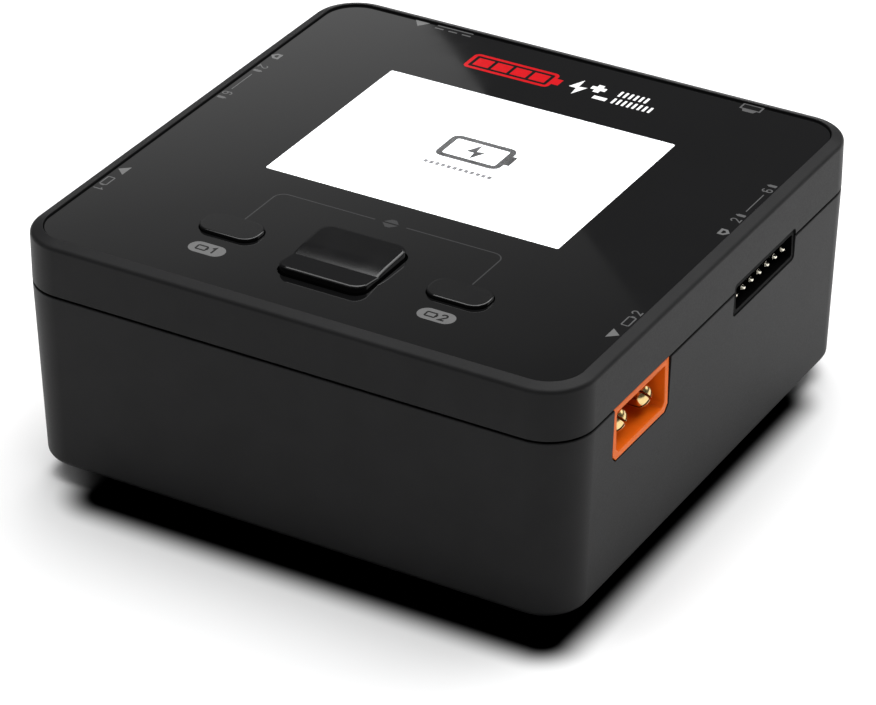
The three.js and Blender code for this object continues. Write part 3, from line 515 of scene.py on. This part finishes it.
def build_bottom_case():
    inner = lean(FLOOR_TOP) + WALL
    profile = rounded_path([
        (inner, FLOOR_TOP, 0), (WALL, SEAM[0] - REBATE_DEPTH, 0), (1.0, SEAM[0] - REBATE_DEPTH, 0),
        (1.0, SEAM[0], 0.12), (lean(SEAM[0]), SEAM[0], 0.16), (TAPER, CASE_BASE, 1.0), (6, CASE_BASE, 0),
    ], 5)
    shell = skin("case_bottom", [case_ring(inset, z) for inset, z in profile])
    posts = [prism("post", circle(POST["r"], sx * POST["at"], sy * POST["at"], 32),
                   (FLOOR_TOP - 1, POST["top"]))
             for sx, sy, _ in CORNERS]
    combine(shell, "UNION", posts)
    cuts = socket_cuts()
    half = LINK["height"] / 2
    link = round_rect(LINK["width"] / 2, half, half - 0.01, 0, LINK["z"], 10)
    cuts.append(wall_cut(BACK, link, x=LINK["x"]))
    slot = round_rect(*EXHAUST["half"], SLOT_END, 0, EXHAUST["z"], 8)
    for i in range(EXHAUST["count"]):
        cuts.append(wall_cut(BACK, slot, x=EXHAUST["first"] + EXHAUST["pitch"] * i))
    for i in range(-INTAKE["per_side"], INTAKE["per_side"] + 1):
        x = INTAKE["pitch"] * i
        reach = math.sqrt(INTAKE["reach"] ** 2 - x ** 2)
        slot = round_rect(INTAKE["half_width"], reach, SLOT_END, x, 0, 8)
        cuts.append(prism("cut", slot, (CASE_BASE - 1, FLOOR_TOP + 1.5)))
    for sx, sy, _ in CORNERS:
        x, y = sx * POST["at"], sy * POST["at"]
        cuts.append(prism("cut", circle(POST["bore"], x, y, 32), (CASE_BASE + 2, POST["top"] + 1)))
        cuts.append(prism("cut", circle(POST["head_bore"], x, y, 32), (CASE_BASE - 1, POST["head_top"])))
        foot = circle(FOOT["r"] + 0.3, sx * FOOT["x"], sy * FOOT["y"])
        cuts.append(prism("cut", foot, (0, FOOT_TOP + 0.3)))
    for side in (-1, 1):
        spot = side * FAN_HOLE["at"]
        cuts.append(prism("cut", circle(FAN_HOLE["r"], spot, spot, 24), (4.3, FLOOR_TOP + 1)))
    combine(shell, "DIFFERENCE", cuts)
    crease(shell, 40)
    soften(shell, 0.05, 2, 40)
    place(shell, "case_plastic", "charger", "bottom_case", slot="case_plastic")


def build_top_cover():
    rim_inset = CASE_HALF - RECESS_HALF
    profile = rounded_path([
        (6, ROOF[0], 0), (WALL, ROOF[0], 0), (WALL, LIP_BOTTOM, 0), (1.3, LIP_BOTTOM, 0), (1.3, SEAM[1], 0),
        (0, SEAM[1], 0.16), (0, RIM_TOP - RIM_DROP, 0.75), (rim_inset, RIM_TOP, 0.12),
        (rim_inset, ROOF[1], 0), (6, ROOF[1], 0),
    ], 6)
    cover = skin("case_top", [case_ring(inset, z) for inset, z in profile])
    through = (ROOF[0] - 1, ROOF[1] + 0.5)
    cuts = socket_cuts()
    for side in (-1, 1):
        cuts.append(prism("cut", round_rect(5.6, 3.6, 2.6, side * KEY_X, KEY_Y), through))
    cuts.append(prism("cut", round_rect(7.6, 7.4, 0.4, 0, ROCKER_Y), through))
    display = round_rect(*DISPLAY_HOLE["half"], 0.4, DISPLAY_HOLE["x"], DISPLAY_HOLE["y"])
    cuts.append(prism("cut", display, through))
    combine(cover, "DIFFERENCE", cuts)
    crease(cover, 40)
    soften(cover, 0.05, 2, 40)
    place(cover, "case_plastic", "charger", "top_cover", slot="case_plastic")


# ---- Front panel and display ----

def build_panel():
    profile = rounded_path([
        (6, PANEL_UNDER, 0), (0, PANEL_UNDER, 0), (0, PANEL_TOP, 0.06), (6, PANEL_TOP, 0),
    ], 5)
    rings = []
    for inset, z in profile:
        half = PANEL_HALF - inset
        ring = round_rect(half, half, max(PANEL_R - inset, 0.5), steps=20)
        rings.append([(x, y, z) for x, y in ring])
    panel = skin("panel_gloss", rings)
    through = (PANEL_UNDER - 1, PANEL_TOP + 1)
    holes = []
    for side in (-1, 1):
        half_x, half_y = [half + KEY_GAP for half in KEY_HALF]
        holes.append(round_rect(half_x, half_y, KEY_R + KEY_GAP, side * KEY_X, KEY_Y, 12))
    half_x, half_y = [half + ROCKER_GAP for half in ROCKER_HALF]
    holes.append(round_rect(half_x, half_y, 2.2, 0, ROCKER_Y, 12))
    half = WINDOW["half"]
    holes.append(round_rect(half[0], half[1], 0.35, WINDOW["x"], WINDOW["y"]))
    combine(panel, "DIFFERENCE", [prism("cut", hole, through) for hole in holes])
    crease(panel, 30)
    soften(panel, 0)
    place(panel, "panel_acrylic", "charger", "front_panel", slot="panel_acrylic")
    outline = round_rect(half[0] - 0.004, half[1] - 0.004, 0.346, WINDOW["x"], WINDOW["y"])
    window = prism("panel_window", outline, (PANEL_UNDER, PANEL_TOP))
    place(window, "window", "charger", slot="panel_acrylic")


# ---- Printed marks ----

def band(points, width, closed=False):
    """Four-sided pieces that follow a line at an even width, mitred where it turns."""
    count = len(points)
    line = [Vector(p) for p in points]
    left, right = [], []
    for i, here in enumerate(line):
        before = line[i - 1] if i or closed else None
        after = line[(i + 1) % count] if i + 1 < count or closed else None
        one = (here - before).normalized() if before is not None else (after - here).normalized()
        two = (after - here).normalized() if after is not None else one
        normal = Vector((-(one + two).y, (one + two).x)).normalized()
        reach = width / 2 / max(normal.dot(Vector((-one.y, one.x))), 0.35)
        left.append(here + normal * reach)
        right.append(here - normal * reach)
    ends = count if closed else count - 1
    return [[left[i], right[i], right[(i + 1) % count], left[(i + 1) % count]] for i in range(ends)]


def arc(x, y, r, start, end, steps=10):
    turns = [math.radians(start + (end - start) * i / steps) for i in range(steps + 1)]
    return [(x + r * math.cos(t), y + r * math.sin(t)) for t in turns]


def numeral(digit, height, width):
    """A digit as bands, with its lower left corner at the origin."""
    r = height * 0.27
    if digit == "1":
        return band([(0, height * 0.78), (r, height), (r, 0)], width)
    if digit == "2":
        return band([*arc(r, height - r, r, 170, -38), (0, 0), (2 * r, 0)], width)
    bowl = arc(r, r, r, 0, 360, 20)[:-1]
    stem = [(0, r), (0, height - r), *arc(r, height - r, r, 180, 35, 8)]
    return band(bowl, width, True) + band(stem, width)


def cell(height):
    """One upright cell with its cap on top."""
    body, half = height * 0.85, height * 0.22
    return [round_rect(half, body / 2, height * 0.08, half, body / 2, 3),
            [(half * 0.55, body), (half * 1.45, body), (half * 1.45, height), (half * 0.55, height)]]


def moved(shapes, x, y, turn=0.0):
    """Turns shapes by an angle in degrees and moves them."""
    c, s = math.cos(math.radians(turn)), math.sin(math.radians(turn))
    return [[(x + u * c - v * s, y + u * s + v * c) for u, v in shape] for shape in shapes]


def battery(length, height, width, filled=0):
    """A battery lying down: an outline, its cap, and a number of filled cells."""
    cap = length * 0.07
    body = length - cap
    half_x, half_y = (body - width) / 2, (height - width) / 2
    shapes = band(round_rect(half_x, half_y, height * 0.12, body / 2, height / 2, 3), width, True)
    low, high = height * 0.3, height * 0.7
    shapes.append([(body, low), (length, low), (length, high), (body, high)])
    if filled:
        gap = width * 0.9
        block = (body - 2 * width - gap * (filled + 1)) / filled
        low, high = width + gap, height - width - gap
        for i in range(filled):
            x = low + i * (block + gap)
            shapes.append([(x, low), (x + block, low), (x + block, high), (x, high)])
    return shapes


def bolt(height, spread=0.3):
    """A lightning flash, with its foot at the origin."""
    w = height * spread
    return [[(0, height), (-w, height * 0.42), (w * 0.1, height * 0.5)],
            [(w * 0.1, height * 0.5), (-w, height * 0.42), (-w * 0.1, height * 0.42)],
            [(-w * 0.1, height * 0.52), (w * 1.1, height * 0.58), (w * 0.1, 0)]]


def mark(name, shapes, material, top=PANEL_TOP):
    """Thin printed shapes on a surface, each a hair above the last so that none lies exactly in another."""
    points, faces = [], []
    for i, shape in enumerate(shapes):
        base, count = len(points), len(shape)
        for z in (top - INK, top + INK + i * INK_STEP):
            points.extend((u, v, z) for u, v in shape)
        faces.append(tuple(range(base, base + count)))
        faces.append(tuple(range(base + count, base + 2 * count)))
        for j in range(count):
            k = (j + 1) % count
            faces.append((base + j, base + k, base + count + k, base + count + j))
    return place(mesh_object(name, points, faces), material, "charger")


def key_marks():
    """A numbered pill before each channel key, and a line from each key to the icon behind the rocker."""
    lines = []
    for side, digit in ((-1, "1"), (1, "2")):
        x = side * KEY_X
        pill = round_rect(*PILL["half"], PILL["half"][1] - 0.01, x, PILL["y"], 10)
        mark("pill_" + digit, [pill], "print_grey")
        label = moved(battery(1.9, 1.35, 0.26), -1.7, 0.05) + moved(numeral(digit, 1.5, 0.28), 0.7, 0)
        mark("pill_number_" + digit, moved(label, x, PILL["y"] - 0.75), "print_dark", PANEL_TOP + 2 * INK)
        corner = LINK_LINE["r"]
        turn = arc(side * (KEY_X - corner), LINK_LINE["y"] - corner, corner, 90 - side * 90, 90, 8)
        lines += band([(x, LINK_LINE["start"]), *turn, (side * LINK_LINE["gap"], LINK_LINE["y"])], 0.2)
    for end in (-1, 1):
        base = LINK_LINE["y"] + end * 0.16
        lines.append([(-1.25, base), (1.25, base), (0.35, base + end * 0.95), (-0.35, base + end * 0.95)])
    mark("key_lines", lines, "print_faint")


def edge_marks():
    """Marks beside the sockets: a tag and the cell counts, then an arrow and the channel's battery."""
    filled, fine = [], []
    for side, turn, tag_y, count_y, arrow_y, label_y, digit in EDGE_LABELS:
        foot = side * LABEL_FOOT

        def inwards(distance):
            return foot - side * distance

        counts = numeral("2", 1.45, 0.2) + moved(cell(1.45), 1.6, 0)
        counts += band([(3.3, 0.6), (8.9, 0.6)], 0.16)
        counts += moved(numeral("6", 1.45, 0.2), 9.9, 0) + moved(cell(1.45), 11.5, 0)
        fine += moved(counts, foot, count_y, turn)
        tag = [(inwards(0), tag_y), (inwards(0.5), tag_y + 0.62), (inwards(1.15), tag_y + 0.62),
               (inwards(1.15), tag_y - 0.62), (inwards(0.5), tag_y - 0.62)]
        filled += band(tag, 0.42, True)
        filled.append([(inwards(1.5), arrow_y - 1.25), (inwards(1.5), arrow_y + 1.25), (inwards(0), arrow_y)])
        label = battery(2.7, 1.3, 0.2) + moved(numeral(digit, 1.4, 0.22), 3.4, 0)
        fine += moved(label, foot, label_y, turn)
    return filled, fine


def print_marks():
    key_marks()
    filled, fine = edge_marks()
    # Back edge: the input arrow, the direct-current sign, and a monitor by the link port
    filled.append([(-29.25, 41.9), (-26.75, 41.9), (-28.0, 40.2)])
    fine += band([(-25.4, 41.9), (-19.2, 41.9)], 0.3)
    for i in range(3):
        fine += band([(-25.4 + 2.35 * i, 41.0), (-23.9 + 2.35 * i, 41.0)], 0.3)
    fine += band([(26.4, 40.6), (29.5, 40.6), (29.5, 42.0), (26.4, 42.0)], 0.26, True)
    fine.append([(27.1, 39.8), (28.8, 39.8), (29.1, 40.46), (26.8, 40.46)])
    mark("marks_bright", filled, "print_grey")
    mark("marks_fine", fine, "print_dim")
    # Red battery, then a white flash, plus and minus, and two rows of level bars
    mark("emblem_red", moved(battery(15.5, 4.7, 0.6, 4), -15.6, 32.0), "print_red")
    signs = moved(bolt(4.8, 0.27), 2.7, 32.1) + moved(band([(-1.1, 0), (1.1, 0)], 0.95), 7.2, 32.9)
    signs += [shape for bar in (((-1.2, 0), (1.2, 0)), ((0, -1.2), (0, 1.2)))
              for shape in moved(band(bar, 0.95), 5.7, 35.5)]
    mark("emblem_white", signs, "print_white")
    rows = [round_rect(0.2, 0.85, 0.1, x0 + 0.86 * i, y, 3)
            for x0, y, count in ((9.3, 35.6, 6), (9.4, 33.2, 8)) for i in range(count)]
    mark("emblem_rules", rows, "print_white")


def build_display():
    """Grey battery and progress dots on the lit page. They are moved to look central through the window."""
    shift = (-0.69, 1.19)
    page = moved(battery(11.4, 6.8, 0.95), -5.5 + shift[0], 5.9 + shift[1])
    page += moved(bolt(4.4), -0.3 + shift[0], 7.1 + shift[1])
    mark("screen_emblem", page, "screen_ink", SCREEN_TOP + INK)
    dots = [round_rect(0.3, 0.42, 0.12, -5.2 + 0.95 * i + shift[0], 3.5 + shift[1], 3) for i in range(12)]
    mark("screen_dots", dots, "screen_faint", SCREEN_TOP + INK)


# ---- Keys ----

def build_keys():
    for channel, side in (("ch1", -1), ("ch2", 1)):
        low = span(channel + "_key")[0][2]
        profile = rounded_path([
            (3.1, low, 0), (3.1, 37.25, 0), (-0.55, 37.25, 0), (-0.55, 38.1, 0), (0, 38.1, 0),
            (0, KEY_TOP, KEY_EDGE), (KEY_EDGE + 0.1, KEY_TOP, 0), (1.6, KEY_TOP, 0),
        ], 6)
        rings = []
        for inset, z in profile:
            half_x, half_y = KEY_HALF[0] - inset, KEY_HALF[1] - min(inset, 2.2)
            r = min(max(KEY_R - inset, 0.3), half_x, half_y) - 0.001
            rings.append([(x, y, z) for x, y in round_rect(half_x, half_y, r, side * KEY_X, KEY_Y, 12)])
        cap = skin(channel + "_keycap", rings)
        crease(cap, 30)
        soften(cap, 0)
        place(cap, "key_plastic", channel + "_button", channel + "_key", slot="key_plastic")


def rocker_height(y):
    """Height of the rocker's top: a land that falls to a crease, then a scoop that eases up to the back."""
    y -= ROCKER_Y
    if y <= -CREASE["behind"]:
        return ROCKER_TOP - CREASE["drop"] * (y + ROCKER_HALF[1]) / (ROCKER_HALF[1] - CREASE["behind"])
    t = y + CREASE["behind"]
    ease = 1 - max(1 - t / CREASE["scoop"], 0) ** 2
    slow = (CREASE["drop"] - CREASE["step"]) * t / (ROCKER_HALF[1] + CREASE["behind"])
    return ROCKER_TOP - CREASE["drop"] + CREASE["step"] * ease + slow


def rocker_ring(inset):
    """The rocker's outline drawn in by an inset: up its right side, then back down its left side."""
    half_x, half_y = ROCKER_HALF
    r = max(ROCKER_R - inset, 0.1)
    core_x, core_y = half_x - inset - r, half_y - inset - r
    turns = [math.radians(90 * i / 12) for i in range(13)]
    right = [(core_x + r * math.sin(t), -core_y - r * math.cos(t)) for t in turns]
    steps = 18
    start = -CREASE["behind"]
    right += [(half_x - inset, -core_y + (start + core_y) * i / 4) for i in range(1, 5)]
    right += [(half_x - inset, start + (core_y - start) * i / steps) for i in range(1, steps)]
    right += [(core_x + r * math.cos(t), core_y + r * math.sin(t)) for t in turns]
    return [(x, y + ROCKER_Y) for x, y in right + [(-x, y) for x, y in reversed(right)]]


def build_rocker():
    edge, steps = ROCKER_EDGE, 10
    stack = [(ROCKER_WALL, ROCKER_LOW), (0, ROCKER_LOW)]
    rings = [[(x, y, HOLLOW_TOP) for x, y in rocker_ring(ROCKER_WALL)]]
    rings += [[(x, y, z) for x, y in rocker_ring(inset)] for inset, z in stack]
    for i in range(steps + 1):
        turn = math.radians(90 * i / steps)
        inset, drop = edge * (1 - math.cos(turn)), edge * (1 - math.sin(turn))
        rings.append([(x, y, rocker_height(y) - drop) for x, y in rocker_ring(inset)])
    rings.append([(x, y, rocker_height(y)) for x, y in rocker_ring(edge + 0.12)])
    count = len(rings[0])
    points = [p for ring in rings for p in ring]
    faces = [tuple(range(count))]
    last = len(points) - count
    for base in range(0, last, count):
        for i in range(count):
            j = (i + 1) % count
            faces.append((base + i, base + j, base + count + j, base + count + i))
    for i in range(count // 2 - 1):
        faces.append((last + i, last + i + 1, last + count - 2 - i, last + count - 1 - i))
    cap = mesh_object("rocker_cap", points, faces)
    crease(cap, 14)
    soften(cap, 0)
    place(cap, "rocker_gloss", "scroll_rocker", "rocker_key", slot="key_plastic")


# ---- Sockets ----

def bullet(name, node, spot, across, x=0.0, y=0.0):
    """A round contact with a domed, cross-slit end, a tail, and a leg down into the board."""
    out = facing(spot["angle"], spot["x"] + x, spot["y"] + y, BULLET_Z)
    tip = -POWER_RECESS - BULLET["recess"]
    r = BULLET["r"]

    def barrel(profile, steps=56):
        rings = [[out @ Vector((u, v, along)) for u, v in circle(radius, across, 0, steps)]
                 for radius, along in profile]
        return skin(name, rings)

    dome = [(r * math.sin(t), tip - BULLET["dome"] * (1 - math.cos(t)))
            for t in (math.radians(4 + 86 * i / 12) for i in range(13))]
    pin = barrel([(r, tip - BULLET["length"]), *reversed(dome)])
    slit = BULLET["slit"] / 2
    for half_u, half_v in ((slit, r + 1), (r + 1, slit)):
        outline = moved([round_rect(half_u, half_v, 0.05, 0, 0, 2)], across, 0, BULLET["slit_turn"])[0]
        combine(pin, "DIFFERENCE", [prism("slit", outline, (tip - BULLET["slit_depth"], 1), out)])
    leg_at = BULLET_TAIL["leg_at"] - POWER_RECESS
    tail = barrel([(BULLET_TAIL["r"], leg_at - 1), (BULLET_TAIL["r"], tip - BULLET["length"] + 1)], 32)
    foot = out @ Vector((across, 0, leg_at))
    leg = turned("leg", [(BULLET_TAIL["leg_r"], BULLET_TAIL["foot_z"]), (BULLET_TAIL["leg_r"], foot.z + 0.5)],
                 foot.x, foot.y, 32)
    combine(pin, "UNION", [tail, leg])
    crease(pin, 35)
    soften(pin, 0.05, 2, 45)
    return place(pin, "gold_contact", "charger", node, slot="gold_contact")


def build_sockets():
    for name, spot, x, y in (("ch1_output", LEFT, 0, POWER_Y), ("ch2_output", RIGHT, 0, POWER_Y),
                             ("dc_input", BACK, INPUT_X, 0)):
        refined(name + "_socket", name + "_shell", "socket_orange", 0.1)
        for sign, side in (("positive", 1), ("negative", -1)):
            node = f"{name}_{sign}_pin"
            bullet(f"{name}_{sign}_bullet", node, spot, side * BULLET["pitch"] / 2, x, y)
    for channel in ("ch1", "ch2"):
        refined(channel + "_balance_socket", channel + "_balance_shell", "socket_black", 0.05)
        refined(channel + "_balance_pins", channel + "_balance_bars", "pin_gold", 0.06, slot="gold_contact")
    refined("link_port_shell", "link_port_rim", "switch_metal", 0.05)
    refined("link_port_tongue", "link_port_blade", "socket_black", 0.05)


# ---- Underside ----

def build_feet():
    for sx, sy, corner in CORNERS:
        profile = rounded_path([
            (0.01, 0, 0), (FOOT["r"], 0, 0.6), (FOOT["r"], FOOT_TOP, 0.1), (0.01, FOOT_TOP, 0),
        ], 6)
        foot = turned("pad_" + corner, profile, sx * FOOT["x"], sy * FOOT["y"])
        crease(foot, 35)
        soften(foot, 0)
        place(foot, "foot_rubber", "charger", "foot_" + corner, slot="foot_rubber")
        refined("case_screw_" + corner, "screw_" + corner, "screw_steel", 0.08)


def build_fan():
    refined("fan_frame", "fan_housing", "fan_plastic", 0.15)
    refined("fan_impeller", "fan_wheel", "fan_plastic", 0.12, "fan_rotor")


# ---- Setting ----

def softbox(name, centre, target, size, radiance):
    """A rectangular soft light whose face has the given radiance."""
    lamp = bpy.data.lights.new(name, "AREA")
    lamp.shape = "RECTANGLE"
    lamp.size, lamp.size_y = size
    lamp.energy = radiance * math.pi * size[0] * size[1]
    obj = bpy.data.objects.new(name, lamp)
    obj.location = centre
    obj.rotation_euler = (Vector(target) - Vector(centre)).to_track_quat("-Z", "Y").to_euler()
    bpy.context.scene.collection.objects.link(obj)


def floor_with_painted_shadow():
    """Pale floor with a shadow painted into its colour: black in a soft-edged square under and just in front
    of the case.
    """
    material = finish("floor", FLOOR_COLOUR, 0.6, specular=0.0, shade=0.004, mottle=40.0, grain=2.0, relief=0)
    nodes, links = material.node_tree.nodes, material.node_tree.links
    place = nodes["Texture Coordinate"].outputs["Object"]
    core = (PAINTED_SHADOW["half"] - PAINTED_SHADOW["r"]) * MM
    for operation, operand in (("SUBTRACT", (PAINTED_SHADOW["x"] * MM, PAINTED_SHADOW["y"] * MM, 0)), ("ABSOLUTE", None),
                               ("SUBTRACT", (core, core, 0)), ("MAXIMUM", (0, 0, 0))):
        step = nodes.new("ShaderNodeVectorMath")
        step.operation = operation
        links.new(place, step.inputs[0])
        if operand:
            step.inputs[1].default_value = operand
        place = step.outputs["Vector"]
    length = nodes.new("ShaderNodeVectorMath")
    length.operation = "LENGTH"
    links.new(place, length.inputs[0])
    fade = nodes.new("ShaderNodeMapRange")
    fade.interpolation_type = "SMOOTHSTEP"
    fade.inputs["From Min"].default_value = (PAINTED_SHADOW["r"] - PAINTED_SHADOW["fade"]) * MM
    fade.inputs["From Max"].default_value = (PAINTED_SHADOW["r"] + PAINTED_SHADOW["fade"]) * MM
    links.new(length.outputs["Value"], fade.inputs["Value"])
    # Painted shadow: the floor's colour is scaled down to black inside the soft-edged square
    base = nodes["Principled BSDF"].inputs["Base Color"]
    shaded = nodes.new("ShaderNodeVectorMath")
    shaded.operation = "SCALE"
    links.new(base.links[0].from_socket, shaded.inputs[0])
    links.new(fade.outputs["Result"], shaded.inputs["Scale"])
    links.new(shaded.outputs["Vector"], base)
    return material


def graded_card():
    """A lit board far behind the case, which the panel's gloss shows as a grey gradient."""
    start, end = CARD["span"]
    corners = [(start, 0, 0), (end, 0, 0), (end, CARD["depth"], 0), (start, CARD["depth"], 0)]
    card = mesh_object("gloss_card", corners, [(0, 1, 2, 3)])
    material = bpy.data.materials.new("gloss_card")
    material.use_nodes = True
    nodes, links = material.node_tree.nodes, material.node_tree.links
    split = nodes.new("ShaderNodeSeparateXYZ")
    links.new(nodes.new("ShaderNodeTexCoord").outputs["Object"], split.inputs["Vector"])
    along = nodes.new("ShaderNodeMapRange")
    along.inputs["From Min"].default_value = start * MM
    along.inputs["From Max"].default_value = end * MM
    links.new(split.outputs["X"], along.inputs["Value"])
    ramp = nodes.new("ShaderNodeValToRGB")
    stops = ramp.color_ramp.elements
    for i, (at, level) in enumerate(CARD["levels"]):
        stop = stops[i] if i < len(stops) else stops.new(1.0)
        stop.position = (at - start) / (end - start)
        stop.color = (level, level, level, 1)
    links.new(along.outputs["Result"], ramp.inputs["Fac"])
    glow = nodes.new("ShaderNodeEmission")
    links.new(ramp.outputs["Color"], glow.inputs["Color"])
    links.new(glow.outputs["Emission"], nodes["Material Output"].inputs["Surface"])
    card.data.materials.append(material)
    card.location = CARD["at"]
    card.rotation_euler = (0, 0, CARD["turn"])


def build_setting():
    scene = bpy.context.scene
    half = 4000.0
    floor = mesh_object("floor", [(-half, -half, 0), (half, -half, 0), (half, half, 0), (-half, half, 0)],
                        [(0, 1, 2, 3)])
    floor.data.materials.append(floor_with_painted_shadow())
    world = bpy.data.worlds.new("studio")
    world.use_nodes = True
    world.node_tree.nodes["Background"].inputs["Color"].default_value = AMBIENT
    scene.world = world
    for name, light in LIGHTS.items():
        softbox(name, *light)
    graded_card()
    scene.view_settings.view_transform = "Standard"
    camera = bpy.data.objects.new("camera", bpy.data.cameras.new("camera"))
    camera.data.lens = CAMERA["lens"]
    camera.data.sensor_width = CAMERA["sensor"]
    camera.data.clip_start = 0.01
    camera.location = CAMERA["at"]
    camera.rotation_euler = (Vector(CAMERA["aim"]) - camera.location).to_track_quat("-Z", "Y").to_euler()
    scene.collection.objects.link(camera)
    scene.camera = camera


# ---- Inner parts keep their CAD shape ----

INNER = {
    "lcd_screen": "display_glass", "lcd_frame": "display_frame", "display_ribbon": "flex_circuit",
    "rocker_pivot_pin": "pin_steel", "key_carrier": "carrier_plastic", "control_board": "circuit_board",
    "main_board": "circuit_board", "buzzer": "chip_package", "board_link_header": "chip_package",
    "microcontroller": "chip_package", "fan_cable": "cable_jacket", "fan_screw_left": "screw_steel",
    "fan_screw_right": "screw_steel",
}
for switch in ("ch1", "ch2", "ok", "scroll_up", "scroll_down"):
    INNER[switch + "_switch"] = "switch_metal"
for channel in ("ch1", "ch2"):
    INNER[channel + "_inductor"] = "ferrite"
    INNER[channel + "_capacitor_front"] = "capacitor_sleeve"
    INNER[channel + "_capacitor_rear"] = "capacitor_sleeve"
    INNER[channel + "_power_transistor"] = "chip_package"
    INNER[channel + "_heatsink"] = "heatsink_aluminium"

for node, material in INNER.items():
    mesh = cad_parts[node].data
    mesh.materials.clear()
    mesh.materials.append(MATERIALS[material])

build_setting()
build_bottom_case()
build_top_cover()
build_panel()
print_marks()
build_display()
build_keys()
build_rocker()
build_sockets()
build_feet()
build_fan()
